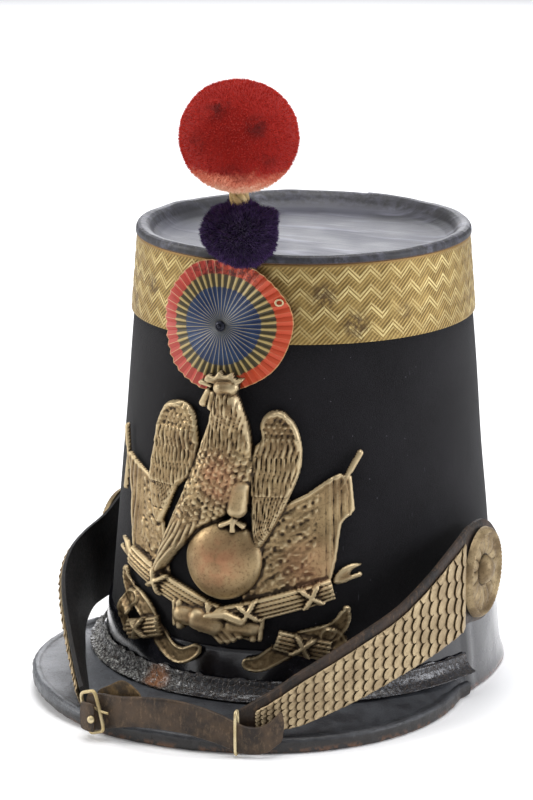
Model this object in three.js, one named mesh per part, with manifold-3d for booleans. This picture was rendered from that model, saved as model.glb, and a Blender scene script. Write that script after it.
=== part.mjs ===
// A shako: tall felt cap with a leather visor, brass front plate, cockade, pompoms and a scale chin strap.
// Millimetres, +Z up. The visor points along -Y and the wearer's left is +X. It stands on its lower edge.

import * as THREE from 'three';
import { mergeVertices } from 'three/addons/utils/BufferGeometryUtils.js';
import { TessellateModifier } from 'three/addons/modifiers/TessellateModifier.js';
import Module from 'manifold-3d';

const wasm = await Module();
wasm.setup();

// ---------------------------------------------------------------- driving sizes

const fitGap = 0.3; // clear space between pieces that touch
const roundSteps = 48; // sides of every ring round the body

const body = {
  height: 203, // felt, floor to top edge
  footHalfWidth: 88.5, // half the outside of the oval, across the head
  footHalfLength: 97.3, // and from front to back
  topRadius: 73.8, // the top is round
  wall: 3,
};
const crown = {
  rimTop: 204.6,
  dishFloor: 197,
  dishRadius: 62,
  crestRadius: 71,
  leather: 2,
  lipBottom: 201.2,
  lipThickness: 1.3,
};
const galloon = { low: 166.3, high: 200.8, thickness: 1 };
const footBand = { high: 32, thickness: 1.5, flare: 1.5, flareHeight: 8 };

const visor = {
  centreX: -4,
  centreY: -50,
  halfWidth: 97.4,
  reach: 93,
  squareness: 2.1, // exponent of the superellipse that its edge follows
  edgeTurn: 107.5, // degrees of that edge to each side of the front
  jointTurn: 78, // degrees of the body that it is sewn to, to each side
  topAtBody: 10,
  topAtEdge: 6.3,
  sheet: 3,
  leastWidth: 3.4,
  lift: 4.5, // how far its left side is warped up off the ground
  liftFrom: 10, // degrees of turn where the warp starts and is complete
  liftTo: 62,
  steps: 40,
};
const welt = { high: 19, foot: 8.6, turn: 79, steps: 40 };

const plateFoot = { clearBand: 2.2, clearFelt: 0.8, bandTop: 36, feltFrom: 58 };
const plateHead = { clearCockade: 4.8, from: 128, to: 141, middle: 1, halfWidth: 10, ease: 4 };
const cockadeSize = { z: 173.5, turn: -1.5, radius: 28.8, widerRight: 1.6, offset: 3.4, thickness: 1.6, pleats: 40 };
const stem = { x: 6.2, y: -80.5, radius: 4.5, bottom: 206.6, top: 247 };
const tang = { width: 7, thickness: 1.2, bottom: 178 };
const woolLower = { radius: 18.5, halfHeight: 16.5, z: 215.4 };
const woolUpper = { radius: 27.2, halfHeight: 25.4, z: 257.6 };

const bossSize = { radius: 20.6, dish: 2.6, knobRadius: 6.5, knobHeight: 5.5, shankRadius: 2.6, shankHole: 3 };
const strapEndRadius = 24;
const leatherThickness = 3.2;
const scaleThickness = 1.5;
const scaleRows = 20;

// The inner face of each strap, from its upper end to its lower end. x, y and high place the upper edge;
// leanX and leanY lead from there to the lower edge, which is at low.
const leftStrapRows = [
  { x: -89.3, y: 31, high: 72, leanX: 0, leanY: 0, low: 26 },
  { x: -90.2, y: 14, high: 72, leanX: 0, leanY: 0, low: 25 },
  { x: -91.2, y: -2, high: 67, leanX: 0, leanY: 0, low: 22 },
  { x: -92.5, y: -17, high: 60.5, leanX: 0.4, leanY: 0.6, low: 20.6 },
  { x: -94.2, y: -33, high: 56.6, leanX: 2.6, leanY: 3, low: 20 },
  { x: -92.4, y: -50, high: 53.5, leanX: 5.4, leanY: 4.6, low: 19.4 },
  { x: -87.2, y: -66.5, high: 49, leanX: 6.6, leanY: 6, low: 18.6 },
  { x: -78.4, y: -83.6, high: 43.9, leanX: 6.2, leanY: 7, low: 18 },
  { x: -69, y: -98.4, high: 37.5, leanX: 4.4, leanY: 7.4, low: 16.4 },
  { x: -59, y: -113, high: 31, leanX: 3.2, leanY: 7, low: 14 },
  { x: -51, y: -123.6, high: 24, leanX: 2.8, leanY: 5, low: 11.6 },
  { x: -44.8, y: -131, high: 18.3, leanX: 2, leanY: 2.4, low: 9.2 },
];
const rightStrapRows = [
  { x: 90.6, y: 11, high: 77.6, leanX: 0, leanY: 0, low: 30 },
  { x: 90.4, y: -3, high: 78.4, leanX: 0, leanY: 0, low: 31.4 },
  { x: 90.2, y: -16, high: 79.6, leanX: 0, leanY: 0, low: 33.2 },
  { x: 91, y: -30, high: 79.8, leanX: 0, leanY: 0, low: 35.4 },
  { x: 92.2, y: -44.6, high: 77.6, leanX: 0, leanY: 0, low: 34.8 },
  { x: 87.4, y: -63.6, high: 66.8, leanX: 0, leanY: 0, low: 30.4 },
  { x: 80.6, y: -80, high: 56.8, leanX: 0, leanY: 0, low: 26 },
  { x: 71.8, y: -95.6, high: 49.4, leanX: 0, leanY: 0, low: 20.6 },
  { x: 62, y: -108.2, high: 42, leanX: 0, leanY: 0, low: 15.6 },
  { x: 51.4, y: -118.2, high: 34.4, leanX: 0, leanY: 0, low: 11 },
  { x: 42.6, y: -125.6, high: 27.4, leanX: 0, leanY: 0, low: 10 },
  { x: 35.4, y: -130.4, high: 22.4, leanX: 0, leanY: 0, low: 11.6 },
  { x: 30.4, y: -133.2, high: 19, leanX: 0, leanY: 0, low: 12.2 },
];
// The tie strap's centre line follows the visor's edge at these distances outside it.
const tieRows = [
  { x: -38.6, outside: 2.2, low: 1.8, high: 18.4 },
  { x: -30, outside: 2.2, low: 4, high: 20.4 },
  { x: -20, outside: 2.2, low: 7, high: 21.2 },
  { x: -10, outside: 2.2, low: 8.8, high: 22.6 },
  { x: 0, outside: 2.2, low: 9.4, high: 23.4 },
  { x: 10, outside: 2.2, low: 9, high: 23 },
  { x: 18, outside: 2.2, low: 7.4, high: 21.4 },
  { x: 26, outside: 2.2, low: 5.2, high: 18.8 },
  { x: 33, outside: 2.3, low: 2.4, high: 15.4 },
  { x: 39, outside: 2.6, low: 1.4, high: 13.6 },
  { x: 44.5, outside: 2.4, low: 2.4, high: 15.2 },
  { x: 50, outside: 0.8, low: 7, high: 21 },
];
const tieThickness = 1.8;

// ---------------------------------------------------------------- shapes

const radians = THREE.MathUtils.degToRad;
const between = (a, b, share) => a + (b - a) * share;
const smooth = (share) => share * share * (3 - 2 * share);
const clamped = (value) => Math.min(1, Math.max(0, value));

/** Keeps only the positions of a geometry, with shared corners merged. */
function weld(geometry, tolerance = 1e-4) {
  geometry.deleteAttribute('normal');
  geometry.deleteAttribute('uv');
  return mergeVertices(geometry, tolerance);
}

function signedVolume(geometry) {
  const corner = geometry.attributes.position;
  const order = geometry.index.array;
  const [a, b, c] = [new THREE.Vector3(), new THREE.Vector3(), new THREE.Vector3()];
  let total = 0;
  for (let i = 0; i < order.length; i += 3) {
    a.fromBufferAttribute(corner, order[i]);
    b.fromBufferAttribute(corner, order[i + 1]);
    c.fromBufferAttribute(corner, order[i + 2]);
    total += a.dot(b.cross(c)) / 6;
  }
  return total;
}

/** Turns a closed geometry so that its faces point out. */
function faceOut(geometry) {
  if (signedVolume(geometry) > 0) return geometry;
  const order = geometry.index.array;
  for (let i = 0; i < order.length; i += 3) {
    [order[i + 1], order[i + 2]] = [order[i + 2], order[i + 1]];
  }
  return geometry;
}

/** Moves every corner of a geometry to place(corner). */
function reshape(geometry, place) {
  const welded = weld(geometry);
  const corner = welded.attributes.position;
  const point = new THREE.Vector3();
  for (let i = 0; i < corner.count; i += 1) {
    point.fromBufferAttribute(corner, i);
    const moved = place(point.x, point.y, point.z);
    corner.setXYZ(i, moved.x, moved.y, moved.z);
  }
  return faceOut(welded);
}

/** A block of steps along, across and through, whose corner shares (0 to 1) place() turns into points. */
function bentBlock(along, across, place) {
  const block = new THREE.BoxGeometry(1, 1, 1, along, across, 1);
  block.translate(0.5, 0.5, 0.5);
  return reshape(block, place);
}

function toManifold(geometry) {
  const welded = geometry.index ? geometry : weld(geometry);
  const solid = new wasm.Mesh({
    numProp: 3,
    vertProperties: new Float32Array(welded.attributes.position.array),
    triVerts: new Uint32Array(welded.index.array),
  });
  return new wasm.Manifold(solid);
}

function fromManifold(solid) {
  const mesh = solid.getMesh();
  const geometry = new THREE.BufferGeometry();
  geometry.setAttribute('position', new THREE.BufferAttribute(new Float32Array(mesh.vertProperties), 3));
  geometry.setIndex(new THREE.BufferAttribute(new Uint32Array(mesh.triVerts), 1));
  return geometry;
}

const joined = (parts) => fromManifold(parts.map(toManifold).reduce((whole, part) => whole.add(part)));
const cutBy = (geometry, ...cutters) =>
  fromManifold(cutters.map(toManifold).reduce((whole, cutter) => whole.subtract(cutter), toManifold(geometry)));

/** A solid of revolution about Z from rows of [radius, z]. */
function turned(profile, steps = roundSteps) {
  const lathe = new THREE.LatheGeometry(profile.map(([radius, z]) => new THREE.Vector2(radius, z)), steps);
  lathe.rotateX(Math.PI / 2);
  return faceOut(weld(lathe));
}

// ---------------------------------------------------------------- the body's surface

const halfWidthAt = (z) => between(body.footHalfWidth, body.topRadius, z / body.height);
const halfLengthAt = (z) => between(body.footHalfLength, body.topRadius, z / body.height);

/** The point offset outside the felt at height z, turned by angle (radians) from the front towards +X. */
function onBody(angle, z, offset = 0) {
  const normal = new THREE.Vector2(Math.sin(angle) / halfWidthAt(z), -Math.cos(angle) / halfLengthAt(z)).normalize();
  return new THREE.Vector3(
    halfWidthAt(z) * Math.sin(angle) + normal.x * offset,
    -halfLengthAt(z) * Math.cos(angle) + normal.y * offset,
    z,
  );
}

/** Lays a flat relief on the body: x is the distance round it, y the height and z the distance out. */
function wrapOnBody(flat, offsetAt) {
  return reshape(flat, (x, y, z) => onBody(x / halfWidthAt(y), y, offsetAt(x, y) + z));
}

// ---------------------------------------------------------------- body, crown and bands

function makeCrownBody() {
  const { height, wall } = body;
  const shell = closedRing([[-wall, 0], [0, 0], [0, height / 2], [0, height - 8], [0, height],
    [-wall, height], [-wall, height / 2]]);
  return cutBy(shell, shankCutter(bossPlaces.right), shankCutter(bossPlaces.left));
}

/** A ring round the body whose section closes on itself. */
function closedRing(corners) {
  const tube = new THREE.TorusGeometry(3, 1, corners.length, roundSteps);
  const corner = (x, y, z) => {
    const turn = Math.atan2(z, Math.hypot(x, y) - 3) / (2 * Math.PI);
    return corners[(Math.round(turn * corners.length) + corners.length) % corners.length];
  };
  return reshape(tube, (x, y, z) => {
    const [offset, height] = corner(x, y, z);
    return onBody(Math.atan2(x, -y), height, offset);
  });
}

function makeCrownTop() {
  const { rimTop, dishFloor, dishRadius, crestRadius, leather, lipBottom, lipThickness } = crown;
  const lipInside = body.topRadius + fitGap + 0.1;
  const lipOutside = lipInside + lipThickness;
  const under = body.height + fitGap;
  const feltInside = body.topRadius - body.wall;
  return turned([
    [0, dishFloor],
    [dishRadius, dishFloor],
    [dishRadius + 5.5, dishFloor + 3.4],
    [crestRadius - 1.6, rimTop - 0.4],
    [crestRadius, rimTop],
    [lipOutside - 1.2, rimTop - 0.2],
    [lipOutside, rimTop - 1.4],
    [lipOutside, lipBottom],
    [lipInside, lipBottom],
    [lipInside, under],
    [feltInside - 0.4, under],
    [feltInside - 0.6, dishFloor],
    [dishRadius + 1, dishFloor - leather],
    [0, dishFloor - leather],
  ]);
}

const makeGoldBand = () => {
  const inside = fitGap;
  const outside = fitGap + galloon.thickness;
  return closedRing([[inside, galloon.low], [outside, galloon.low], [outside, galloon.high], [inside, galloon.high]]);
};

const makeBaseBand = () => {
  const inside = fitGap;
  const outside = fitGap + footBand.thickness;
  return closedRing([[inside, 0], [outside + footBand.flare, 0], [outside, footBand.flareHeight],
    [outside, footBand.high], [inside, footBand.high]]);
};

// ---------------------------------------------------------------- visor and welt

const bandOutside = fitGap + footBand.thickness + footBand.flare;

/** The visor's edge, from its right end at share 0 to its left end at 1, grown outwards by outside. */
function visorEdge(share, outside = 0) {
  const turn = radians(between(visor.edgeTurn, -visor.edgeTurn, share));
  const power = 2 / visor.squareness;
  const sine = Math.sign(Math.sin(turn)) * Math.abs(Math.sin(turn)) ** power;
  const cosine = Math.sign(Math.cos(turn)) * Math.abs(Math.cos(turn)) ** power;
  return new THREE.Vector2(
    visor.centreX + (visor.halfWidth + outside) * sine,
    visor.centreY - (visor.reach + outside) * cosine,
  );
}

/** How far the visor's edge stands off the ground there. */
function visorLift(share) {
  const leftTurn = between(-visor.edgeTurn, visor.edgeTurn, share);
  return visor.lift * smooth(clamped((leftTurn - visor.liftFrom) / (visor.liftTo - visor.liftFrom)));
}

function makePeak() {
  return bentBlock(visor.steps, 3, (along, across, through) => {
    const angle = radians(between(visor.jointTurn, -visor.jointTurn, along));
    const joint = onBody(angle, 0, bandOutside + 0.4);
    const edge = visorEdge(along);
    const outwards = edge.clone().sub(new THREE.Vector2(joint.x, joint.y));
    const width = Math.max(visor.leastWidth, outwards.length());
    outwards.normalize();
    const lip = Math.min(visor.sheet, width / 2);
    const { topAtBody, topAtEdge, sheet } = visor;
    const skin = [[0, topAtBody], [width - 0.8, topAtEdge], [width, topAtEdge - 0.8], [width, 0]];
    const lining = [[0, topAtBody - sheet], [width - lip, topAtEdge - sheet + 0.4],
      [width - lip, topAtEdge - sheet], [width - lip, 0]];
    const row = Math.round(across * 3);
    const [out, z] = through > 0.5 ? skin[row] : lining[row];
    const warped = z + visorLift(along) * clamped(out / width);
    return new THREE.Vector3(joint.x + outwards.x * out, joint.y + outwards.y * out, warped);
  });
}

function makePeakWelt() {
  const back = fitGap + footBand.thickness + 0.4;
  const visorTop = visor.topAtBody + 0.4;
  const front = [[back + 0.8, welt.high], [back + 2, welt.high - 5.5], [welt.foot, visorTop + 0.7]];
  const rear = [[back, welt.high], [back, visorTop + 2], [back + 0.8, visorTop]];
  return bentBlock(welt.steps, 2, (along, across, through) => {
    const angle = radians(between(welt.turn, -welt.turn, along));
    const row = Math.round(across * 2);
    const [offset, z] = through > 0.5 ? front[row] : rear[row];
    return onBody(angle, z, offset);
  });
}

// ---------------------------------------------------------------- front plate

/** A flat piece of the plate: an outline of [distance round the body, height] raised by relief. */
function plateShape(outline, relief) {
  const shape = new THREE.Shape(outline.map(([x, y]) => new THREE.Vector2(x, y)));
  return faceOut(weld(new THREE.ExtrudeGeometry(shape, { depth: relief, bevelEnabled: false })));
}

/** A straight rod of the plate between two points, half as thick as it is wide. */
function plateRod(from, to, width, relief) {
  const [start, end] = [new THREE.Vector2(...from), new THREE.Vector2(...to)];
  const rod = new THREE.CylinderGeometry(width / 2, width / 2, start.distanceTo(end), 10);
  rod.scale(1, 1, (2 * relief) / width);
  rod.rotateZ(Math.atan2(end.y - start.y, end.x - start.x) - Math.PI / 2);
  rod.translate((start.x + end.x) / 2, (start.y + end.y) / 2, 0);
  return faceOut(weld(rod));
}

function plateDome(x, y, radius, relief) {
  const dome = turned([[0, relief], [radius * 0.5, relief * 0.9], [radius * 0.8, relief * 0.66],
    [radius * 0.95, relief * 0.34], [radius, 0], [0, 0]], 20);
  dome.translate(x, y, 0);
  return dome;
}

const plateOutlines = {
  leftFlag: [[-59.5, 114], [-56, 108], [-46, 104], [-38, 101], [-31, 90], [-24, 60], [-20, 52], [-46, 60], [-52, 86],
    [-58, 98]],
  rightFlag: [[59, 118], [55, 108.5], [49, 109.5], [38, 102], [27, 95], [14, 70], [14, 54], [47, 62], [51.5, 66],
    [54.5, 92], [57.5, 93]],
  leftWing: [[-23.6, 138], [-30, 134], [-36, 118], [-37.5, 101], [-34.5, 82], [-28, 84], [-22, 99], [-13, 108],
    [-11, 123], [-13.5, 134], [-18, 138]],
  rightWing: [[24.5, 138.5], [30, 136], [35, 125], [34.8, 112], [28.4, 96], [19, 74], [16.4, 77], [15.5, 100],
    [14.6, 112], [15.4, 124], [17.4, 134]],
  bird: [[2.5, 154.5], [8.8, 153.4], [8, 146], [11, 136], [14, 124], [15.8, 112], [13, 102], [11.4, 92], [2, 88],
    [-8, 88], [-20, 72], [-32.6, 57.5], [-27, 72], [-20.5, 92], [-13, 112], [-9, 126], [-4.2, 136], [-6.4, 140],
    [-4, 146], [-6.6, 149.6], [-3.4, 152.6]],
  leftRibbon: [[-53, 51], [-47, 50], [-36, 46], [-24, 33], [-8, 33.5], [-10, 30], [-18, 24], [-28, 28], [-38, 38],
    [-50, 41]],
  rightRibbon: [[57, 52], [56, 45], [52, 36], [44, 36], [36, 33], [17, 27], [24, 33], [36, 41], [47, 43]],
  hands: [[-14, 51], [2, 50], [18, 48], [18, 38.5], [10, 36], [-2, 37.5], [-14, 43]],
};
const plateRods = [
  { from: [-46, 62], to: [48, 34], width: 9, relief: 3.6 },
  { from: [48, 60], to: [-43, 30], width: 9, relief: 4 },
  { from: [44, 61], to: [59, 66], width: 4.4, relief: 2 },
  { from: [-44, 61], to: [-54, 66], width: 4.4, relief: 2 },
];

function makePlate() {
  const relief = { leftFlag: 1.2, rightFlag: 1.2, leftWing: 2.6, rightWing: 2.6, bird: 4.6,
    leftRibbon: 1.8, rightRibbon: 1.8, hands: 5.4 };
  const sheets = Object.entries(plateOutlines).map(([name, outline]) => plateShape(outline, relief[name]));
  const back = cutterBox(-80, 80, 0, 180, -12, 0);
  const rods = plateRods.map((rod) => cutBy(plateRod(rod.from, rod.to, rod.width, rod.relief), back));
  const globe = plateDome(3.4, 71.5, 17.6, 8.2);
  const flat = joined([...sheets, ...rods, globe]).toNonIndexed();
  const fine = new TessellateModifier(11, 8).modify(flat);
  const { clearBand, clearFelt, bandTop, feltFrom } = plateFoot;
  const head = plateHead;
  const clear = (x, z) => {
    const foot = between(clearBand, clearFelt, smooth(clamped((z - bandTop) / (feltFrom - bandTop))));
    const aside = clamped((Math.abs(x - head.middle) - head.halfWidth) / head.ease);
    const rise = smooth(clamped((z - head.from) / (head.to - head.from)));
    return foot + head.clearCockade * rise * (1 - smooth(aside));
  };
  return wrapOnBody(fine, clear);
}

function cutterBox(lowX, highX, lowY, highY, lowZ, highZ) {
  const box = new THREE.BoxGeometry(highX - lowX, highY - lowY, highZ - lowZ);
  box.translate((lowX + highX) / 2, (lowY + highY) / 2, (lowZ + highZ) / 2);
  return weld(box);
}

// ---------------------------------------------------------------- cockade, stem and pompoms

function makeCockade() {
  const { z, turn, radius, widerRight, offset, thickness, pleats } = cockadeSize;
  const rings = [0, 2.4, 2.4, radius * 0.58, radius * 0.78, radius];
  const disc = new THREE.LatheGeometry([
    new THREE.Vector2(0, 0),
    ...rings.slice(2).map((ring) => new THREE.Vector2(ring, 0)),
    new THREE.Vector2(radius, thickness),
    ...rings.slice(2, 5).reverse().map((ring) => new THREE.Vector2(ring, thickness)),
    new THREE.Vector2(0, thickness),
  ], pleats);
  const middle = radians(turn) * halfWidthAt(z);
  return reshape(disc, (x, y, w) => {
    const wider = x > 0 ? 1 + (widerRight / radius) * (x / radius) : 1;
    const flatX = middle + x * wider;
    const height = z + w;
    return onBody(flatX / halfWidthAt(height), height, offset + y);
  });
}

function cockadePoint(right, up, out) {
  const { z, turn, offset, thickness } = cockadeSize;
  const height = z + up;
  return onBody(radians(turn) + right / halfWidthAt(height), height, offset + thickness + out);
}

/** A small turned piece set on the cockade, its axis pointing out of the cap. */
function onCockade(profile, right, up, steps) {
  const piece = turned(profile, steps);
  piece.rotateX(Math.PI / 2);
  const point = cockadePoint(right, up, fitGap);
  piece.rotateZ(Math.atan2(point.x, -point.y));
  piece.translate(point.x, point.y, point.z);
  return piece;
}

const makeCockadeRivet = () => onCockade([[0, 0], [2.2, 0], [2.2, 0.7], [1.5, 1.4], [0, 1.7]], 0, 0, 16);

const makeCockadeEyelet = () =>
  onCockade([[0.9, 0], [1.9, 0], [1.9, 0.9], [0.9, 0.9], [0.9, 0]], 24.6, 12, 16);

function makeStem() {
  const { x, y, radius, bottom, top } = stem;
  const rod = turned([[0, bottom], [radius, bottom], [radius, top], [0, top]], 16);
  rod.translate(x, y, 0);
  const behindCockade = galloon.thickness + 2 * fitGap + 0.2;
  const flat = bentBlock(2, 4, (along, across, through) => {
    const z = between(tang.bottom, bottom + 1.4, across);
    const angle = (x + (along - 0.5) * tang.width) / body.topRadius;
    const point = onBody(angle, Math.min(z, body.height), behindCockade + through * tang.thickness);
    point.z = z;
    return point;
  });
  return joined([rod, flat]);
}

/** Soft lobes on a ball of wool. */
const lobed = (angle, height, depth) => 1 + depth * Math.sin(5 * angle + 3 * height) * Math.cos(2 * height - angle);

function woolBall(size, profileSteps, depth, holeTop) {
  const hole = stem.radius + 0.55;
  const start = Math.asin(hole / size.radius);
  const outside = [];
  for (let i = 0; i <= profileSteps; i += 1) {
    const angle = between(-Math.PI / 2 + start, holeTop ? Math.PI / 2 : Math.PI / 2 - start, i / profileSteps);
    outside.push([size.radius * Math.cos(angle), size.z + size.halfHeight * Math.sin(angle)]);
  }
  if (holeTop) outside[profileSteps][0] = 0;
  const hollow = holeTop ? [[0, holeTop], [hole, holeTop]] : [];
  const closing = holeTop ? [] : [outside[0]];
  const ball = turned([...hollow, ...outside, ...closing], 24);
  return reshape(ball, (x, y, z) => {
    const reach = Math.hypot(x, y);
    const share = reach > hole + 0.5 ? lobed(Math.atan2(y, x), (z - size.z) / size.halfHeight, depth) : 1;
    return new THREE.Vector3(stem.x + x * share, stem.y + y * share, z);
  });
}

function makePompomLower() {
  const ball = woolBall(woolLower, 10, 0.03, null);
  const front = body.topRadius + cockadeSize.offset + cockadeSize.thickness + 0.5;
  const cockadeTop = cockadeSize.z + cockadeSize.radius + 1;
  const lip = body.topRadius + 0.4 + crown.lipThickness + 0.6;
  const seat = turned([[0, 180], [front + 1, 180], [front, cockadeTop], [lip, cockadeTop],
    [lip, crown.rimTop + 0.6], [0, crown.rimTop + 0.6]], roundSteps);
  const slotHalf = tang.width / 2 + 0.8;
  const tangSlot = cutterBox(stem.x - slotHalf, stem.x + slotHalf, -77.8, -70, 195, 208.6);
  return cutBy(ball, seat, tangSlot);
}

const makePompomUpper = () => woolBall(woolUpper, 14, 0.012, stem.top + 0.5);

// ---------------------------------------------------------------- straps

/** Smooth edges through strap rows: at(share) gives the two edge points of the inner face. */
function strapEdges(rows) {
  const upper = new THREE.CatmullRomCurve3(rows.map((row) => new THREE.Vector3(row.x, row.y, row.high)));
  const lower = new THREE.CatmullRomCurve3(
    rows.map((row) => new THREE.Vector3(row.x + row.leanX, row.y + row.leanY, row.low)),
  );
  return (share) => ({ high: upper.getPoint(share), low: lower.getPoint(share) });
}

/** The point of a strap at shares along and across, lifted off its inner face away from the head. */
function strapPoint(edges, along, across, lift) {
  const step = 0.004;
  const here = edges(along);
  const ahead = edges(Math.min(1, along + step));
  const behind = edges(Math.max(0, along - step));
  const point = here.low.clone().lerp(here.high, across);
  const run = ahead.low.clone().lerp(ahead.high, across).sub(behind.low.clone().lerp(behind.high, across));
  const outwards = run.cross(here.high.clone().sub(here.low)).normalize();
  if (outwards.x * point.x + outwards.y * (point.y + 20) < 0) outwards.negate();
  return point.addScaledVector(outwards, lift);
}

/** Half the width left at a strap's round end, as a share of the full half width. */
function roundEnd(distance, radius) {
  if (distance >= radius) return 1;
  return Math.sqrt(1 - ((radius - distance) / radius) ** 2);
}

const strapLength = (edges) => {
  let length = 0;
  for (let i = 0; i < 60; i += 1) {
    length += strapPoint(edges, i / 60, 0.5, 0).distanceTo(strapPoint(edges, (i + 1) / 60, 0.5, 0));
  }
  return length;
};

function makeStrapBack(edges, place) {
  const length = strapLength(edges);
  const steps = 30;
  const strap = bentBlock(steps, 2, (along, across, through) => {
    const share = along < 0.2 ? along ** 1.4 * (0.2 / 0.2 ** 1.4) : along;
    const width = Math.max(0.12, roundEnd(share * length, strapEndRadius));
    return strapPoint(edges, share, 0.5 + (across - 0.5) * width, through * leatherThickness);
  });
  return cutBy(strap, shankCutter(place));
}

/** Scales: rows across the strap, each thicker towards its lower end, where it overlaps the next. */
function makeScales(edges, from, to, upperMargin) {
  const steps = scaleRows * 2;
  const thin = 0.5;
  return bentBlock(steps - 1, 2, (along, across, through) => {
    const line = Math.round(along * (steps - 1));
    const row = Math.floor(line / 2);
    const atEnd = line % 2 === 1;
    const share = between(from, to, (row + (atEnd ? 0.97 : 0)) / scaleRows);
    const here = edges(share);
    const width = here.high.distanceTo(here.low);
    const top = 1 - upperMargin / width;
    const lift = leatherThickness + fitGap + 0.1 + through * (atEnd ? scaleThickness : thin);
    return strapPoint(edges, share, between(0, top, across), lift);
  });
}

const leftEdges = strapEdges(leftStrapRows);
const rightEdges = strapEdges(rightStrapRows);

const bossPlaces = {
  left: { edges: leftEdges, along: 0.135 },
  right: { edges: rightEdges, along: 0.17 },
};

/** Where a boss sits: the strap's inner face under its middle, and the level direction out of the head. */
function bossFrame({ edges, along }) {
  const point = strapPoint(edges, along, 0.5, 0);
  const outwards = strapPoint(edges, along, 0.5, 1).sub(point);
  outwards.z = 0;
  return { point, outwards: outwards.normalize() };
}

/** Stands a solid of revolution about Z on a boss frame, with its foot lifted off the strap's inner face. */
function onBossFrame(geometry, place, lift) {
  const { point, outwards } = bossFrame(place);
  geometry.applyQuaternion(new THREE.Quaternion().setFromUnitVectors(new THREE.Vector3(0, 0, 1), outwards));
  const foot = point.clone().addScaledVector(outwards, lift);
  geometry.translate(foot.x, foot.y, foot.z);
  return geometry;
}

const shankReach = 11;

function shankCutter(place) {
  const cutter = turned([[0, -shankReach - 4], [bossSize.shankHole, -shankReach - 4], [bossSize.shankHole, 12], [0, 12]], 12);
  return onBossFrame(cutter, place, 0);
}

function makeBoss(place) {
  const { radius, dish, knobRadius, knobHeight, shankRadius } = bossSize;
  const back = leatherThickness + 2 * fitGap + 0.7;
  const face = turned([
    [0, -back - shankReach + 4],
    [shankRadius, -back - shankReach + 4],
    [shankRadius, 0],
    [radius - 1, 0],
    [radius, 0.8],
    [radius, 2],
    [radius - 1.6, dish + 0.6],
    [radius - 3.6, dish],
    [radius - 4.4, dish - 0.9],
    [knobRadius + 1.2, dish],
    [knobRadius, dish + 1],
    [knobRadius - 0.6, dish + knobHeight * 0.55],
    [knobRadius - 2.6, dish + knobHeight * 0.9],
    [0, dish + knobHeight],
  ], 24);
  return onBossFrame(face, place, back);
}

// ---------------------------------------------------------------- tie strap, buckle and keeper

/** A point just outside the visor's edge, in front of the face, at the given x. */
function outsideVisor(x, outside) {
  const across = Math.abs(x - visor.centreX) / (visor.halfWidth + outside);
  const reach = (1 - across ** visor.squareness) ** (1 / visor.squareness);
  return visor.centreY - (visor.reach + outside) * reach;
}

const tieEdges = strapEdges(
  tieRows.map(({ x, outside, low, high }) => ({ x, y: outsideVisor(x, outside), low, high, leanX: 0, leanY: 0 })),
);

const makeTieStrap = () =>
  bentBlock(26, 2, (along, across, through) => strapPoint(tieEdges, along, across, through * tieThickness));

function makeTongue() {
  const rows = [
    { x: -36, outside: -1.4, low: 11, high: 19 },
    { x: -28, outside: -1.2, low: 11, high: 23.5 },
    { x: -21, outside: -1.2, low: 11.4, high: 27 },
    { x: -14, outside: -1.4, low: 12, high: 24 },
    { x: -11, outside: -1.4, low: 14, high: 20.6 },
  ].map(({ x, outside, low, high }) => ({ x, y: outsideVisor(x, outside), low, high, leanX: 0, leanY: 0 }));
  const edges = strapEdges(rows);
  return bentBlock(8, 1, (along, across, through) => strapPoint(edges, along, across, through * 1.5));
}

/** A closed loop of wire with half sizes wide and tall in its own X and Z, squarer as power grows. */
function wireLoop(wide, tall, wire, power, steps) {
  const torus = new THREE.TorusGeometry(10, wire, 6, steps);
  return reshape(torus, (x, y, z) => {
    const angle = Math.atan2(y, x);
    const out = Math.hypot(x, y) - 10;
    const bend = 2 / power;
    const cosine = Math.sign(Math.cos(angle)) * Math.abs(Math.cos(angle)) ** bend;
    const sine = Math.sign(Math.sin(angle)) * Math.abs(Math.sin(angle)) ** bend;
    const normal = new THREE.Vector2(Math.cos(angle), Math.sin(angle));
    return new THREE.Vector3(wide * cosine + normal.x * out, z, tall * sine + normal.y * out);
  });
}

function makeBuckle() {
  const loop = wireLoop(5.2, 9, 0.8, 6, 24);
  loop.rotateY(radians(-20));
  loop.rotateZ(radians(-22));
  loop.translate(-34, outsideVisor(-34, 5.6), 12);
  return loop;
}

function makeBuckleLoop() {
  const rows = [
    { x: -38.4, outside: 7.6, low: 4.4, high: 16.8 },
    { x: -34.6, outside: 8, low: 4, high: 16.8 },
    { x: -31, outside: 7.6, low: 4.2, high: 16.4 },
  ].map(({ x, outside, low, high }) => ({ x, y: outsideVisor(x, outside), low, high, leanX: 0, leanY: 0 }));
  const edges = strapEdges(rows);
  return bentBlock(5, 1, (along, across, through) => strapPoint(edges, along, across, through * 1.3));
}

function makeLoopRivet() {
  const rivet = turned([[0, 0], [1.7, 0], [1.7, 0.6], [1, 1.2], [0, 1.4]], 14);
  rivet.rotateX(Math.PI / 2);
  rivet.rotateZ(radians(-22));
  rivet.translate(-33, outsideVisor(-33, 9.9), 10);
  return rivet;
}

function makeKeeper() {
  const loop = wireLoop(2.1, 9.6, 0.7, 4, 24);
  loop.rotateZ(radians(98));
  loop.translate(33, outsideVisor(33, 3.25), 11);
  return loop;
}

// ---------------------------------------------------------------- finishes and assembly

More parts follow.
